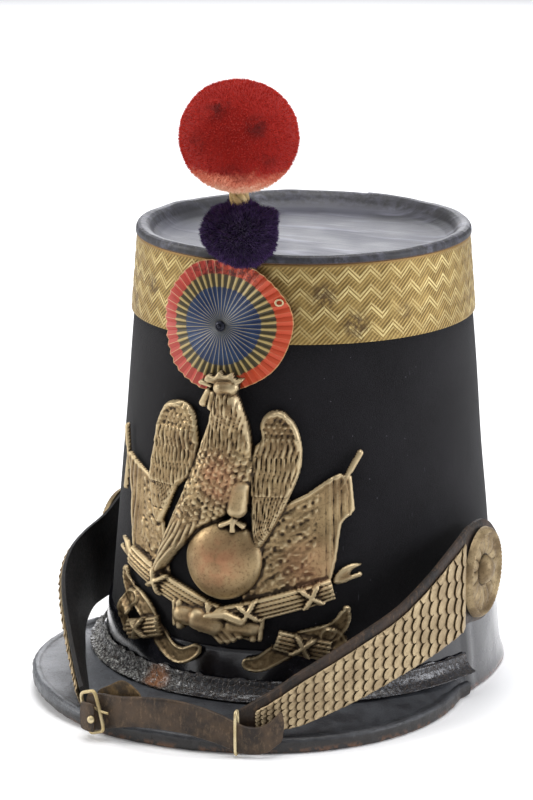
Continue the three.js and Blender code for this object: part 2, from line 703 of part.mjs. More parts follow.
const finish = (color, roughness, metalness = 0) => new THREE.MeshStandardMaterial({ color, roughness, metalness });
const blackFelt = finish(0x17161a, 0.95);
const blackLeather = finish(0x2c2c31, 0.4);
const patentLeather = finish(0x16161c, 0.22);
const goldLace = finish(0xb3935a, 0.7, 0.2);
const brass = finish(0x9a7d4c, 0.42, 0.9);
const brownLeather = finish(0x4a3627, 0.7);
const tanLeather = finish(0x6b4e30, 0.75);
const cockadePaint = finish(0xb5402c, 0.55);
const darkIron = finish(0x2a2624, 0.5, 0.7);
const purpleWool = finish(0x2c1a4a, 1);
const redWool = finish(0xb5271c, 1);

const pieces = [
  ['crown_body', makeCrownBody, blackFelt],
  ['crown_top', makeCrownTop, blackLeather],
  ['gold_band', makeGoldBand, goldLace],
  ['base_band', makeBaseBand, patentLeather],
  ['peak', makePeak, blackLeather],
  ['peak_welt', makePeakWelt, blackLeather],
  ['plate', makePlate, brass],
  ['cockade', makeCockade, cockadePaint],
  ['cockade_rivet', makeCockadeRivet, darkIron],
  ['cockade_eyelet', makeCockadeEyelet, brass],
  ['pompom_stem', makeStem, brass],
  ['pompom_lower', makePompomLower, purpleWool],
  ['pompom_upper', makePompomUpper, redWool],
  ['strap_back_left', () => makeStrapBack(leftEdges, bossPlaces.left), brownLeather],
  ['strap_back_right', () => makeStrapBack(rightEdges, bossPlaces.right), brownLeather],
  ['scales_left', () => makeScales(leftEdges, 0.3, 0.99, 2), brass],
  ['scales_right', () => makeScales(rightEdges, 0.3, 0.9, 4.5), brass],
  ['boss_left', () => makeBoss(bossPlaces.left), brass],
  ['boss_right', () => makeBoss(bossPlaces.right), brass],
  ['tie_strap', makeTieStrap, brownLeather],
  ['strap_tongue', makeTongue, tanLeather],
  ['buckle', makeBuckle, brass],
  ['buckle_loop', makeBuckleLoop, brownLeather],
  ['loop_rivet', makeLoopRivet, brass],
  ['strap_keeper', makeKeeper, brass],
];

const shako = new THREE.Group();
shako.name = 'shako';
for (const [name, make, material] of pieces) {
  const mesh = new THREE.Mesh(make(), material);
  mesh.name = name;
  shako.add(mesh);
}

// The origin is under the middle of the whole cap, on the surface that it stands on.
const extent = new THREE.Box3().setFromObject(shako);
const middle = extent.getCenter(new THREE.Vector3());
shako.position.set(-middle.x, -middle.y, -extent.min.z);

export default shako;
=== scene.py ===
# A shako: tall black felt cap with a leather visor, a stamped brass front plate, a pleated cockade,
# two wool pompoms, a gold lace band and a chin strap of brass scales tied in front of the visor.
import math

import bpy
import numpy as np
from mathutils import Matrix, Vector


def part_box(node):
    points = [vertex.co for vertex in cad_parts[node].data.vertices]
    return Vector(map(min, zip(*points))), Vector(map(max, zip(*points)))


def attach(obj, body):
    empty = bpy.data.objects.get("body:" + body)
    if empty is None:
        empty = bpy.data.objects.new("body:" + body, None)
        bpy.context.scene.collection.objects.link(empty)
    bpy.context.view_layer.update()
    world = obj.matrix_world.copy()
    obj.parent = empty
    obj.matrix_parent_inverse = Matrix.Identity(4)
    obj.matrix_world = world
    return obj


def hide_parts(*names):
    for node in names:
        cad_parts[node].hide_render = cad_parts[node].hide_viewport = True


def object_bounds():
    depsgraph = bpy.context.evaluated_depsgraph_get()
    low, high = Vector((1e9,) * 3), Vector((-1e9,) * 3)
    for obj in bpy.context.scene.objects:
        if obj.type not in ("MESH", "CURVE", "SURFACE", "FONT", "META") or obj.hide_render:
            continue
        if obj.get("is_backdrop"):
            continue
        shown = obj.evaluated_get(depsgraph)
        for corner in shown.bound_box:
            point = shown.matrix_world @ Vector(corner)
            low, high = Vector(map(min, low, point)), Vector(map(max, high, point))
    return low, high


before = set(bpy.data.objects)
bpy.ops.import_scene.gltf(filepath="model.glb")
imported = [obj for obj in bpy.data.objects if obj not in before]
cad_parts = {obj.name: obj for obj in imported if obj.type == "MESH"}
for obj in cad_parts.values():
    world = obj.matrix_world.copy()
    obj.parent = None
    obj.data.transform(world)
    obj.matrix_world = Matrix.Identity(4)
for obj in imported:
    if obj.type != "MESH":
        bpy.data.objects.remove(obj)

mm = 0.001
cadBounds = [list(corner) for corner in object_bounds()]

# where the cap is: everything below is in millimetres from the body's own axis, front towards -Y
feltLow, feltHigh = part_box("crown_body")
crownLow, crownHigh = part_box("crown_top")
axisX = (feltLow[0] + feltHigh[0]) / 2
axisY = (feltLow[1] + feltHigh[1]) / 2
hat = {
    "footHalfWidth": (feltHigh[0] - feltLow[0]) / 2 / mm,
    "footHalfLength": (feltHigh[1] - feltLow[1]) / 2 / mm,
    "height": feltHigh[2] / mm,
    "topRadius": (crownHigh[0] - crownLow[0]) / 2 / mm - 1.7,
    "wall": 3.0,
}


def toFrame(x, y, z):
    return Vector((axisX + x * mm, axisY + y * mm, z * mm))


def halfWidthAt(z):
    return hat["footHalfWidth"] + (hat["topRadius"] - hat["footHalfWidth"]) * z / hat["height"]


def halfLengthAt(z):
    return hat["footHalfLength"] + (hat["topRadius"] - hat["footHalfLength"]) * z / hat["height"]


def onHat(turn, z, out=0.0):
    # a point of the cap at a turn from the front (to the right) and a height, so far out of the felt
    wide, long = halfWidthAt(z), halfLengthAt(z)
    leanX, leanY = np.sin(turn) / wide, -np.cos(turn) / long
    size = np.hypot(leanX, leanY)
    return wide * np.sin(turn) + leanX / size * out, -long * np.cos(turn) + leanY / size * out, z + 0 * turn


def ease(share):
    share = np.clip(share, 0, 1)
    return share * share * (3 - 2 * share)


def cloud(x, y, size, seed):
    # soft lumps from -1 to 1, the same on every run
    lattice = np.random.RandomState(seed).rand(64, 64) * 2 - 1
    x, y = np.asarray(x) / size + 500, np.asarray(y) / size + 500
    column, row = np.floor(x).astype(int), np.floor(y).astype(int)
    alongX, alongY = ease(x - column), ease(y - row)
    corner = lambda i, j: lattice[(row + j) % 64, (column + i) % 64]
    low = corner(0, 0) * (1 - alongX) + corner(1, 0) * alongX
    high = corner(0, 1) * (1 - alongX) + corner(1, 1) * alongX
    return low * (1 - alongY) + high * alongY


def ridge(value):
    # rounded rods side by side, one for each whole number
    share = value - np.floor(value)
    return np.sqrt(np.clip(1 - (2 * share - 1) ** 2, 0, 1))


# working with meshes
def clearSelection():
    if bpy.context.object and bpy.context.object.mode != "OBJECT":
        bpy.ops.object.mode_set(mode="OBJECT")
    bpy.ops.object.select_all(action="DESELECT")


def pick(*pieces):
    clearSelection()
    for piece in pieces:
        piece.select_set(True)
    bpy.context.view_layer.objects.active = pieces[0]
    return pieces[0]


def gridPiece(name, columns, rows, place):
    # a flat grid whose corner shares (0 to 1 each way) place() turns into points, its UV map as it lay flat
    clearSelection()
    bpy.ops.mesh.primitive_grid_add(x_subdivisions=columns, y_subdivisions=rows, size=1)
    piece = bpy.context.object
    piece.name = name
    mesh = piece.data
    corners = np.empty(len(mesh.vertices) * 3)
    mesh.vertices.foreach_get("co", corners)
    corners = corners.reshape(-1, 3)
    moved = np.column_stack(place(corners[:, 0] + 0.5, corners[:, 1] + 0.5)) * mm
    moved[:, 0] += axisX
    moved[:, 1] += axisY
    mesh.vertices.foreach_set("co", moved.ravel())
    mesh.update()
    return piece


def closeSeams(piece, gap=0.01):
    pick(piece)
    bpy.ops.object.mode_set(mode="EDIT")
    bpy.ops.mesh.select_all(action="SELECT")
    bpy.ops.mesh.remove_doubles(threshold=gap * mm)
    bpy.ops.mesh.normals_make_consistent(inside=False)
    bpy.ops.object.mode_set(mode="OBJECT")
    return piece


def closeEnds(piece, fill=bpy.ops.mesh.edge_face_add):
    # faces over the open edges that are left
    pick(piece)
    bpy.ops.object.mode_set(mode="EDIT")
    bpy.ops.mesh.select_mode(type="EDGE")
    bpy.ops.mesh.select_all(action="DESELECT")
    bpy.ops.mesh.select_non_manifold()
    fill()
    bpy.ops.mesh.select_all(action="SELECT")
    bpy.ops.mesh.normals_make_consistent(inside=False)
    bpy.ops.mesh.select_mode(type="VERT")
    bpy.ops.object.mode_set(mode="OBJECT")
    return piece


def thicken(piece, thickness):
    wall = piece.modifiers.new("wall", "SOLIDIFY")
    wall.thickness = thickness * mm
    wall.offset = -1
    wall.use_even_offset = False
    pick(piece)
    bpy.ops.object.modifier_apply(modifier=wall.name)
    return piece


def smoothShade(piece, angle=40):
    pick(piece)
    bpy.ops.object.shade_smooth_by_angle(angle=math.radians(angle))
    return piece


def joinPieces(name, pieces):
    pick(*pieces)
    if len(pieces) > 1:
        bpy.ops.object.join()
    pieces[0].name = name
    return pieces[0]


def faceAway(piece, fromX=0.0, fromY=0.0):
    # an open skin whose faces should look away from the cap's axis
    mesh = piece.data
    middle = toFrame(fromX, fromY, 0)
    outward = sum(
        (face.center.x - middle.x) * face.normal.x * face.area + (face.center.y
                                                                  - middle.y) * face.normal.y * face.area
        for face in mesh.polygons
    )
    if outward < 0:
        pick(piece)
        bpy.ops.object.mode_set(mode="EDIT")
        bpy.ops.mesh.select_all(action="SELECT")
        bpy.ops.mesh.flip_normals()
        bpy.ops.object.mode_set(mode="OBJECT")
    return piece


def spinPiece(name, profile, steps, place, outward):
    # a turned piece: rows of (radius, height) about an axis at place that points outward
    mesh = bpy.data.meshes.new(name)
    mesh.from_pydata([(radius * mm, 0, height * mm) for radius, height in profile],
                     [(i, i + 1) for i in range(len(profile) - 1)], [])
    piece = bpy.data.objects.new(name, mesh)
    bpy.context.scene.collection.objects.link(piece)
    pick(piece)
    bpy.ops.object.mode_set(mode="EDIT")
    bpy.ops.mesh.select_all(action="SELECT")
    bpy.ops.mesh.spin(steps=steps, angle=math.tau, center=(0, 0, 0), axis=(0, 0, 1))
    bpy.ops.mesh.select_all(action="SELECT")
    bpy.ops.mesh.remove_doubles(threshold=0.01 * mm)
    bpy.ops.mesh.normals_make_consistent(inside=False)
    bpy.ops.object.mode_set(mode="OBJECT")
    mesh.transform(Vector(outward).to_track_quat("Z", "Y").to_matrix().to_4x4())
    mesh.transform(Matrix.Translation(place))
    return piece


def wirePiece(name, points, radius, closed=True, sides=4):
    # a wire of that radius through points in millimetres from the axis
    curve = bpy.data.curves.new(name, "CURVE")
    curve.dimensions = "3D"
    curve.bevel_depth = radius * mm
    curve.bevel_resolution = sides
    curve.use_fill_caps = True
    line = curve.splines.new("POLY")
    line.points.add(len(points) - 1)
    for point, (x, y, z) in zip(line.points, points):
        point.co = (*toFrame(x, y, z), 1)
    line.use_cyclic_u = closed
    piece = bpy.data.objects.new(name, curve)
    bpy.context.scene.collection.objects.link(piece)
    pick(piece)
    bpy.ops.object.convert(target="MESH")
    return bpy.context.object


def handOver(piece, material, slot, *nodes):
    piece.data.materials.clear()
    piece.data.materials.append(material)
    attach(piece, "root")
    if nodes:
        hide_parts(*nodes)
    return piece


# working with materials
def tone(red, green, blue):
    linear = [(c / 255 / 12.92) if c <= 10 else ((c / 255 + 0.055) / 1.055) ** 2.4 for c in (red, green, blue)]
    return (*linear, 1.0)


class Finish:
    def __init__(self, name, roughness=0.5, metallic=0.0, **fixed):
        self.material = bpy.data.materials.new(name)
        self.material.use_nodes = True
        self.tree = self.material.node_tree
        self.shader = self.tree.nodes["Principled BSDF"]
        self.shader.inputs["Roughness"].default_value = roughness
        self.shader.inputs["Metallic"].default_value = metallic
        for socket, value in fixed.items():
            self.shader.inputs[socket.replace("_", " ")].default_value = value
        self.coords = self.tree.nodes.new("ShaderNodeTexCoord")

    def add(self, kind, inputs=(), **settings):
        made = self.tree.nodes.new(kind)
        for key, value in settings.items():
            setattr(made, key, value)
        for key, value in dict(inputs).items():
            if isinstance(value, bpy.types.NodeSocket):
                self.tree.links.new(value, made.inputs[key])
            else:
                made.inputs[key].default_value = value
        return made

    def scaled(self, size, stretch=(1, 1, 1)):
        # the place in steps of size millimetres
        scale = tuple(1000 / size * share for share in stretch)
        return self.add("ShaderNodeMapping", {"Vector": self.coords.outputs["Object"],
                                              "Scale": scale}).outputs["Vector"]

    def noise(self, size, detail=4.0, rough=0.55, stretch=(1, 1, 1)):
        made = self.add("ShaderNodeTexNoise", {"Vector": self.scaled(size, stretch), "Scale": 1.0,
                                               "Detail": detail, "Roughness": rough})
        return made.outputs["Fac"]

    def cells(self, size, feature="F1"):
        made = self.add("ShaderNodeTexVoronoi", {"Vector": self.scaled(size), "Scale": 1.0}, feature=feature)
        return made.outputs["Distance"]

    def blend(self, share, first, second):
        made = self.add("ShaderNodeMix", data_type="RGBA")
        for socket, value in ((made.inputs[0], share), (made.inputs[6], first), (made.inputs[7], second)):
            if isinstance(value, bpy.types.NodeSocket):
                self.tree.links.new(value, socket)
            else:
                socket.default_value = value
        return made.outputs[2]

    def maths(self, operation, first, second=0.0):
        return self.add("ShaderNodeMath", {0: first, 1: second}, operation=operation).outputs[0]

    def times(self, first, second):
        return self.maths("MULTIPLY", first, second)

    def ground(self, share, first, second):
        # the colour that the coats go over
        self.base = self.blend(share, first, second)
        return self

    def coat(self, share, colour):
        return self.ground(share, self.base, colour)

    def near(self, place, radius, soft):
        # 1 close to a place (millimetres from the axis), fading to 0 at radius
        reach = self.add("ShaderNodeVectorMath", {0: self.coords.outputs["Object"], 1: toFrame(*place)},
                         operation="DISTANCE")
        return self.spread(reach.outputs["Value"], radius * mm, radius * soft * mm)

    def spread(self, value, low, high, toLow=0.0, toHigh=1.0):
        made = self.add("ShaderNodeMapRange", {"Value": value, "From Min": low, "From Max": high,
                                               "To Min": toLow, "To Max": toHigh}, interpolation_type="SMOOTHSTEP")
        return made.outputs["Result"]

    def axes(self, source="Object"):
        return self.add("ShaderNodeSeparateXYZ", {"Vector": self.coords.outputs[source]}).outputs

    def fromAxis(self):
        x, y = self.axes()[:2]
        x, y = self.maths("SUBTRACT", x, axisX), self.maths("SUBTRACT", y, axisY)
        return self.maths("SQRT", self.maths("ADD", self.times(x, x), self.times(y, y)))

    def attribute(self, name):
        return self.add("ShaderNodeAttribute", attribute_name=name).outputs["Fac"]

    def paint(self, grain=None, low=0.3, high=0.7, smooth=None, dull=None):
        # the colour made so far, and where a grain is given the roughness from its lows to its highs
        self.tree.links.new(self.base, self.shader.inputs["Base Color"])
        if grain:
            self.tree.links.new(self.spread(grain, low, high, smooth, dull), self.shader.inputs["Roughness"])
        return self

    def hollows(self, reach):
        # near 0 in corners and creases, 1 in the open; the finishes use it to paint shade there
        made = self.add("ShaderNodeAmbientOcclusion", {"Distance": reach * mm}, samples=6, only_local=True)
        return made.outputs["AO"]

    def bump(self, height, distance, strength=1.0):
        # distance in millimetres from lowest to highest
        before = self.shader.inputs["Normal"].links
        inputs = {"Height": height, "Distance": distance * mm, "Strength": strength}
        if before:
            inputs["Normal"] = before[0].from_socket
        made = self.add("ShaderNodeBump", inputs)
        self.tree.links.new(made.outputs["Normal"], self.shader.inputs["Normal"])
        return self


# body, crown and bands
def ringPiece(name, section, around=256, drift=None):
    # a ring round the body whose section, rows of (out, height), closes on itself
    table = np.array(section, float)

    def place(along, across):
        row = np.rint(across * len(table)).astype(int) % len(table)
        turn = math.pi + math.tau * along
        out, z = table[row, 0], table[row, 1]
        if drift:
            out = out + drift(turn, z, row)
        return onHat(turn, z, out)

    return closeSeams(gridPiece(name, around, len(table), place))


def fineRows(corners, step):
    rows = []
    for (outA, highA), (outB, highB) in zip(corners, corners[1:] + corners[:1]):
        count = max(1, round(math.hypot(outB - outA, highB - highA) / step))
        rows += [(outA + (outB - outA) * i / count, highA + (highB - highA) * i / count) for i in range(count)]
    return rows


felt = {"rowStep": 5, "dent": 0.35, "around": 224, "dark": tone(15, 14, 16), "light": tone(24, 23, 26),
        "nap": tone(36, 35, 38)}


def makeFelt():
    height, wall = hat["height"], hat["wall"]
    section = fineRows([(-wall, 0), (-0.6, 0), (0, 0.6), (0, height - 0.5), (-0.6, height), (-wall, height)],
                       felt["rowStep"])

    def dents(turn, z, row):
        inside = (z > 1) & (z < height - 3)
        return felt["dent"] * cloud(np.sin(turn) * 80, z + 70 * np.cos(turn), 38, 3) * inside

    return smoothShade(ringPiece("felt_body", section, felt["around"], dents))


def feltFinish():
    finish = Finish("blackFelt", 0.92, Sheen_Weight=0.1, Sheen_Roughness=0.45, Specular_IOR_Level=0.18)
    nap = finish.noise(0.45, 6, 0.7)
    broad = finish.noise(28, 4)
    finish.ground(finish.spread(broad, 0.3, 0.7), felt["dark"], felt["light"])
    finish.coat(finish.spread(nap, 0.35, 0.75), felt["nap"])
    specks = finish.spread(finish.cells(5.5), 0.05, 0.035)
    fibres = finish.spread(finish.noise(1.0, 2, 0.5, stretch=(1, 1, 0.12)), 0.74, 0.8)
    finish.coat(specks, tone(88, 86, 92))
    finish.coat(finish.times(fibres, 0.5), tone(80, 80, 88))
    return finish.paint().bump(nap, 0.35, 0.8).bump(broad, 0.8, 0.5).material


# the crown leather is black; its dark and light greys carry a lavender cast that is painted sheen, and the pale
# streak tone is painted sheen too
crownTop = {"around": 224, "dark": tone(38, 38, 44), "light": tone(66, 66, 76), "sheenStreak": tone(92, 92, 104),
            "edge": tone(96, 62, 34)}


def makeCrownTop():
    lip = hat["topRadius"] + 0.4
    profile = [(0, 197.2), (20, 197.1), (40, 197.0), (54, 197.0), (60, 197.2), (64, 198.2), (67.5, 200.6),
               (69.6, 203.2), (71.3, 204.5), (73.4, 204.8), (lip + 0.8, 204.2), (lip + 1.4, 203.0),
               (lip + 1.5, 201.2), (lip + 1.1, 200.95), (lip, 201.2), (lip, 203.3), (70.4, 203.3),
               (69.8, 198), (63, 195), (0, 195)]
    table = np.array(profile)
    fine = np.linspace(0, len(table) - 1, 90)
    radii, heights = np.interp(fine, range(len(table)), table[:, 0]), np.interp(fine, range(len(table)), table[:, 1])

    def place(along, across):
        row = across * 89
        radius, z = np.interp(row, range(90), radii), np.interp(row, range(90), heights)
        turn = math.pi + math.tau * along
        x, y = radius * np.sin(turn), -radius * np.cos(turn)
        dip = (cloud(x, y, 23, 5) * 0.5 + cloud(x, y, 9, 6) * 0.18) * ease((68 - radius) / 20) * (z > 196.4)
        crest = 0.35 * cloud(turn * 30, z, 5, 7) * ((radius > 67) & (radius < 76.4) & (z > 201.5))
        return x, y, z + dip + crest

    return smoothShade(closeSeams(gridPiece("crown_leather_top", crownTop["around"], 89, place)), 50)


def crownFinish():
    finish = Finish("crownLeather", 0.4, Specular_IOR_Level=0.5)
    z = finish.axes()[2]
    grain = finish.noise(0.7, 5, 0.6)
    broad = finish.noise(24, 5)
    sheenStreak = finish.noise(16, 3, 0.5, stretch=(0.35, 2.2, 1))
    # the leather's own blotches between dark and light, in lavender greys that are partly painted sheen
    finish.ground(finish.spread(broad, 0.35, 0.68), crownTop["dark"], crownTop["light"])
    # painted sheen: pale lavender streaks over the dish
    finish.coat(finish.spread(sheenStreak, 0.52, 0.7), crownTop["sheenStreak"])
    # painted shade: darker, in blotches, on the rim's inner slope and its outer side
    rimShade = finish.times(finish.spread(z, 198.0 * mm, 201.5 * mm),
                         finish.spread(finish.noise(3.2, 5, 0.7), 0.35, 0.65))
    finish.coat(rimShade, tone(34, 33, 36))
    # lighter patches on the crest: rubbed wear, and a painted highlight along the crest
    crestWearAndHighlight = finish.times(finish.spread(finish.noise(1.4, 6, 0.75), 0.56, 0.66),
                        finish.spread(z, 203.6 * mm, 204.6 * mm))
    finish.coat(crestWearAndHighlight, tone(120, 116, 116))
    reach = finish.fromAxis()
    edge = finish.times(finish.spread(z, 201.7 * mm, 201.1 * mm), finish.spread(reach, 74.5 * mm, 75 * mm))
    finish.coat(edge, crownTop["edge"])
    finish.paint(broad, 0.2, 0.8, 0.42, 0.62)
    return finish.bump(grain, 0.14, 0.5).bump(finish.spread(sheenStreak, 0.4, 0.7), 0.5, 0.4).material


lace = {"low": 166.3, "high": 200.8, "thickness": 1.0, "rows": 44, "around": 600, "rowHigh": 8.2, "zigzags": 46,
        "gold": tone(226, 206, 146), "goldShade": tone(132, 106, 54), "ground": tone(176, 148, 88),
        "groundShade": tone(112, 90, 46),
        "stains": [(31, 187, 9, 0.8), (42, 174, 10, 0.8), (-36, 184, 7, 0.8), (60, 178, 6, 0.5), (-50, 172, 6, 0.6),
                   (20, 181, 7, 0.6)]}


def laceStripe(turn, z):
    # how far into its woven stripe a point of the lace is, from 0 to 1
    zigzag = np.abs(((turn / math.tau * lace["zigzags"]) % 1) * 2 - 1)
    return ((z - lace["low"]) / lace["rowHigh"] - zigzag * 0.55) % 1


def makeGoldLace():
    low, high, out = lace["low"], lace["high"], 0.35
    outer = [(out + lace["thickness"] - 0.35, low + (high - low) * i / lace["rows"]) for i in range(lace["rows"] + 1)]
    section = [(out, low + 0.2)] + outer + [(out, high - 0.2)]

    def drift(turn, z, row):
        onFace = (row > 0) & (row < len(section) - 1)
        stripe = laceStripe(turn, z)
        raised = 0.2 * ease(np.minimum(stripe, 0.62 - stripe) / 0.1)
        thread = 0.07 * np.sin((turn * 76 + z) * 3.1)
        cord = 0.35 * np.exp(-((z - high + 0.9) / 0.7) ** 2) + 0.22 * np.exp(-((z - low - 0.8) / 0.7) ** 2)
        border = (z > low + 1.6) & (z < high - 1.8)
        return onFace * (np.where(border, raised + thread, 0) + cord)

    piece = ringPiece("gold_lace_band", section, lace["around"], drift)
    return smoothShade(piece, 60)


def laceFinish():
    finish = Finish("goldLace", 0.5, 0.55)
    x, y, z = finish.axes()[:3]
    turn = finish.maths("ARCTAN2", finish.maths("SUBTRACT", x, axisX), finish.maths("SUBTRACT", axisY, y))
    share = finish.times(turn, lace["zigzags"] / math.tau)
    share = finish.maths("FRACT", finish.maths("ADD", share, 100.0))
    zigzag = finish.maths("ABSOLUTE", finish.maths("SUBTRACT", finish.times(share, 2.0), 1.0))
    high = finish.maths("DIVIDE", finish.maths("SUBTRACT", z, lace["low"] * mm), lace["rowHigh"] * mm)
    climb = finish.maths("SUBTRACT", high, finish.times(zigzag, 0.55))
    stripe = finish.maths("FRACT", finish.maths("ADD", climb, 10.0))
    weave = finish.spread(finish.maths("PINGPONG", stripe, 0.31), 0.02, 0.16)
    above = finish.spread(stripe, 0.66, 0.6)
    broad = finish.noise(22, 3)
    chevron = finish.times(finish.times(weave, above), finish.spread(broad, 0.38, 0.62, 0.35, 1.0))
    around = finish.times(turn, 76.0)
    up = finish.times(z, 1000.0)
    slant = finish.times(finish.maths("ADD", around, up), 3.1)
    counter = finish.times(finish.maths("SUBTRACT", around, up), 3.1)
    rising = finish.spread(finish.maths("SUBTRACT", share, 0.5), -0.01, 0.01)
    hatch = finish.blend(rising, finish.maths("SINE", slant), finish.maths("SINE", counter))
    threads = finish.spread(hatch, -0.7, 0.3)
    cross = finish.spread(finish.maths("SINE", counter), -0.6, 0.9)
    grain = finish.noise(0.7, 4, 0.7)
    gold = finish.blend(threads, lace["goldShade"], lace["gold"])
    ground = finish.blend(cross, lace["groundShade"], lace["ground"])
    finish.ground(chevron, ground, gold)
    finish.coat(finish.spread(finish.noise(8, 4), 0.4, 0.7, 0.0, 0.45), tone(178, 152, 92))
    finish.coat(finish.spread(grain, 0.5, 0.8, 0.0, 0.5), tone(86, 66, 36))
    for turnAt, highAt, radius, share in lace["stains"]:
        place = onHat(math.radians(turnAt), highAt, 1.2)
        spot = finish.times(finish.near(place, radius, 0.25), finish.spread(finish.noise(2.4, 5, 0.7), 0.36, 0.6))
        finish.coat(finish.times(spot, share), tone(70, 48, 30))
    edge = finish.spread(z, (lace["high"] - 1.3) * mm, (lace["high"] - 0.5) * mm)
    finish.coat(edge, tone(150, 120, 70))
    return finish.paint().bump(threads, 0.12, 0.6).bump(grain, 0.15, 0.5).material


footBand = {"high": 32.0, "thickness": 1.5, "flare": 1.5, "seamTurn": 79.0, "around": 320,
            "dark": tone(12, 12, 16), "light": tone(26, 26, 34), "rim": tone(104, 56, 34)}


def makeFootBand():
    out = 0.35
    top = out + footBand["thickness"]
    section = fineRows([(out, 0), (top + footBand["flare"] - 0.5, 0), (top + footBand["flare"], 0.6), (top + 0.35, 5),
                        (top, 9),
                        (top, footBand["high"] - 0.5), (top - 0.5, footBand["high"]), (out, footBand["high"])], 1.6)
    outs = np.array(section)[:, 0]
    seam = math.radians(footBand["seamTurn"])

    def drift(turn, z, row):
        turn = (turn + math.pi) % math.tau - math.pi
        aside = (turn - seam) * 90
        lap = 0.7 * ease((aside + 0.6) / 1.2) * ease((9 - aside) / 5)
        wave = 0.4 * cloud(turn * 88, z * 1.2, 17, 9)
        return np.where(outs[row] > 1.2, lap + wave, 0)

    return smoothShade(ringPiece("patent_foot_band", section, footBand["around"], drift), 60)


def patentFinish():
    finish = Finish("patentLeather", 0.2, Coat_Weight=0.6, Coat_Roughness=0.12)
    z = finish.axes()[2]
    broad = finish.noise(14, 4)
    finish.ground(finish.spread(broad, 0.3, 0.7), footBand["dark"], footBand["light"])
    scuff = finish.spread(finish.noise(1.2, 6, 0.75), 0.6, 0.7)
    finish.coat(finish.times(scuff, 0.35), tone(110, 108, 120))
    rim = finish.times(finish.spread(z, 2.6 * mm, 0.8 * mm), finish.spread(finish.noise(2.6, 5, 0.7), 0.4, 0.6))
    finish.coat(rim, footBand["rim"])
    finish.paint(broad, 0.3, 0.75, 0.14, 0.34)
    return finish.bump(broad, 0.9, 0.35).bump(finish.noise(0.5, 3), 0.04, 0.4).material


# visor
visor = {"centreX": -4.0, "centreY": -50.0, "halfWidth": 97.4, "reach": 93.0, "squareness": 2.1, "edgeTurn": 107.5,
         "jointTurn": 78.0, "leastWidth": 3.4, "lift": 4.5, "liftFrom": 10.0, "liftOver": 52.0,
         "along": 260, "across": 60, "dark": tone(34, 34, 38), "light": tone(66, 68, 72), "worn": tone(104, 72, 48)}


def visorEdge(share, outside=0.0):
    turn = np.radians(visor["edgeTurn"] * (1 - 2 * share))
    power = 2 / visor["squareness"]
    sine = np.sign(np.sin(turn)) * np.abs(np.sin(turn)) ** power
    cosine = np.sign(np.cos(turn)) * np.abs(np.cos(turn)) ** power
    x = visor["centreX"] + (visor["halfWidth"] + outside) * sine
    return x, visor["centreY"] - (visor["reach"] + outside) * cosine


def outsideVisor(x, outside):
    power = visor["squareness"]
    across = np.abs(x - visor["centreX"]) / (visor["halfWidth"] + outside)
    return visor["centreY"] - (visor["reach"] + outside) * (1 - across ** power) ** (1 / power)


def visorLift(share):
    leftTurn = visor["edgeTurn"] * (2 * share - 1)
    return visor["lift"] * ease((leftTurn - visor["liftFrom"]) / visor["liftOver"])


def makeVisor():
    # out as a share of the way to the edge, then height over the lower edge
    section = np.array([(0, 10), (0.5, 8.3), (0.9, 6.6), (0.935, 6.7), (0.95, 7.0), (0.975, 6.95), (0.99, 6.5),
                        (1, 5.6), (1, 3), (0.996, 1), (0.985, 0.15), (0.965, 0.0), (0.95, 0.9), (0.945, 3.0),
                        (0.5, 5.2), (0, 7)])

    def place(along, across):
        turn = np.radians(visor["jointTurn"] * (1 - 2 * along))
        jointX, jointY, _ = onHat(turn, 0, 3.7)
        edgeX, edgeY = visorEdge(along)
        spanX, spanY = edgeX - jointX, edgeY - jointY
        span = np.hypot(spanX, spanY)
        width = np.maximum(span, visor["leastWidth"])
        spot = across * (len(section) - 1)
        out = np.interp(spot, range(len(section)), section[:, 0])
        # the lip keeps its real width wherever the visor is narrow
        lip = width - np.minimum((1 - out) * 62, width * 0.5)
        reach = np.where(out > 0.9, lip, out / 0.9 * (width - np.minimum(6.2, width * 0.5)))
        z = np.interp(spot, range(len(section)), section[:, 1]) + visorLift(along) * np.clip(reach / width, 0, 1)
        x, y = jointX + spanX / span * reach, jointY + spanY / span * reach
        sheet = across < 0.5
        z = z + sheet * (0.3 * cloud(x, y, 12, 11) + 0.12 * cloud(x, y, 3.1, 12)) * ease(reach / 8)
        ragged = 0.25 * cloud(along * 330, z, 2.4, 13) * (out > 0.97)
        return x + spanX / span * ragged, y + spanY / span * ragged, np.maximum(z, 0.0)

    sheet = gridPiece("visor_leather_sheet", visor["along"], visor["across"], place)
    return smoothShade(closeEnds(sheet, bpy.ops.mesh.fill), 50)


def visorFinish():
    finish = Finish("visorLeather", 0.42, Specular_IOR_Level=0.6)
    x, _, z = finish.axes()[:3]
    left = finish.spread(x, 10 * mm, -55 * mm)
    grain = finish.noise(0.9, 6, 0.7)
    broad = finish.noise(13, 5)
    finish.ground(finish.spread(broad, 0.32, 0.7), visor["dark"], visor["light"])
    finish.coat(finish.times(left, finish.spread(grain, 0.4, 0.66, 0.1, 0.75)), tone(116, 120, 126))
    scuff = finish.spread(finish.noise(2.2, 6, 0.8, stretch=(0.5, 1.6, 1)), 0.58, 0.7)
    finish.coat(finish.times(scuff, 0.5), tone(96, 96, 98))
    pits = finish.spread(finish.noise(1.7, 4, 0.7), 0.42, 0.33)
    finish.coat(finish.times(pits, 0.8), tone(16, 15, 16))
    finish.coat(finish.spread(z, 6.4 * mm, 4.2 * mm, 0.0, 0.85), tone(24, 18, 14))
    edge = finish.spread(z, 3.6 * mm, 0.6 * mm)
    worn = finish.times(edge, finish.spread(finish.noise(6, 4, 0.7), 0.46, 0.58))
    finish.coat(worn, visor["worn"])
    finish.paint(grain, 0.3, 0.7, 0.32, 0.6)
    return finish.bump(grain, 0.28, 0.6).bump(broad, 0.8, 0.4).bump(pits, 0.2, 0.5).material


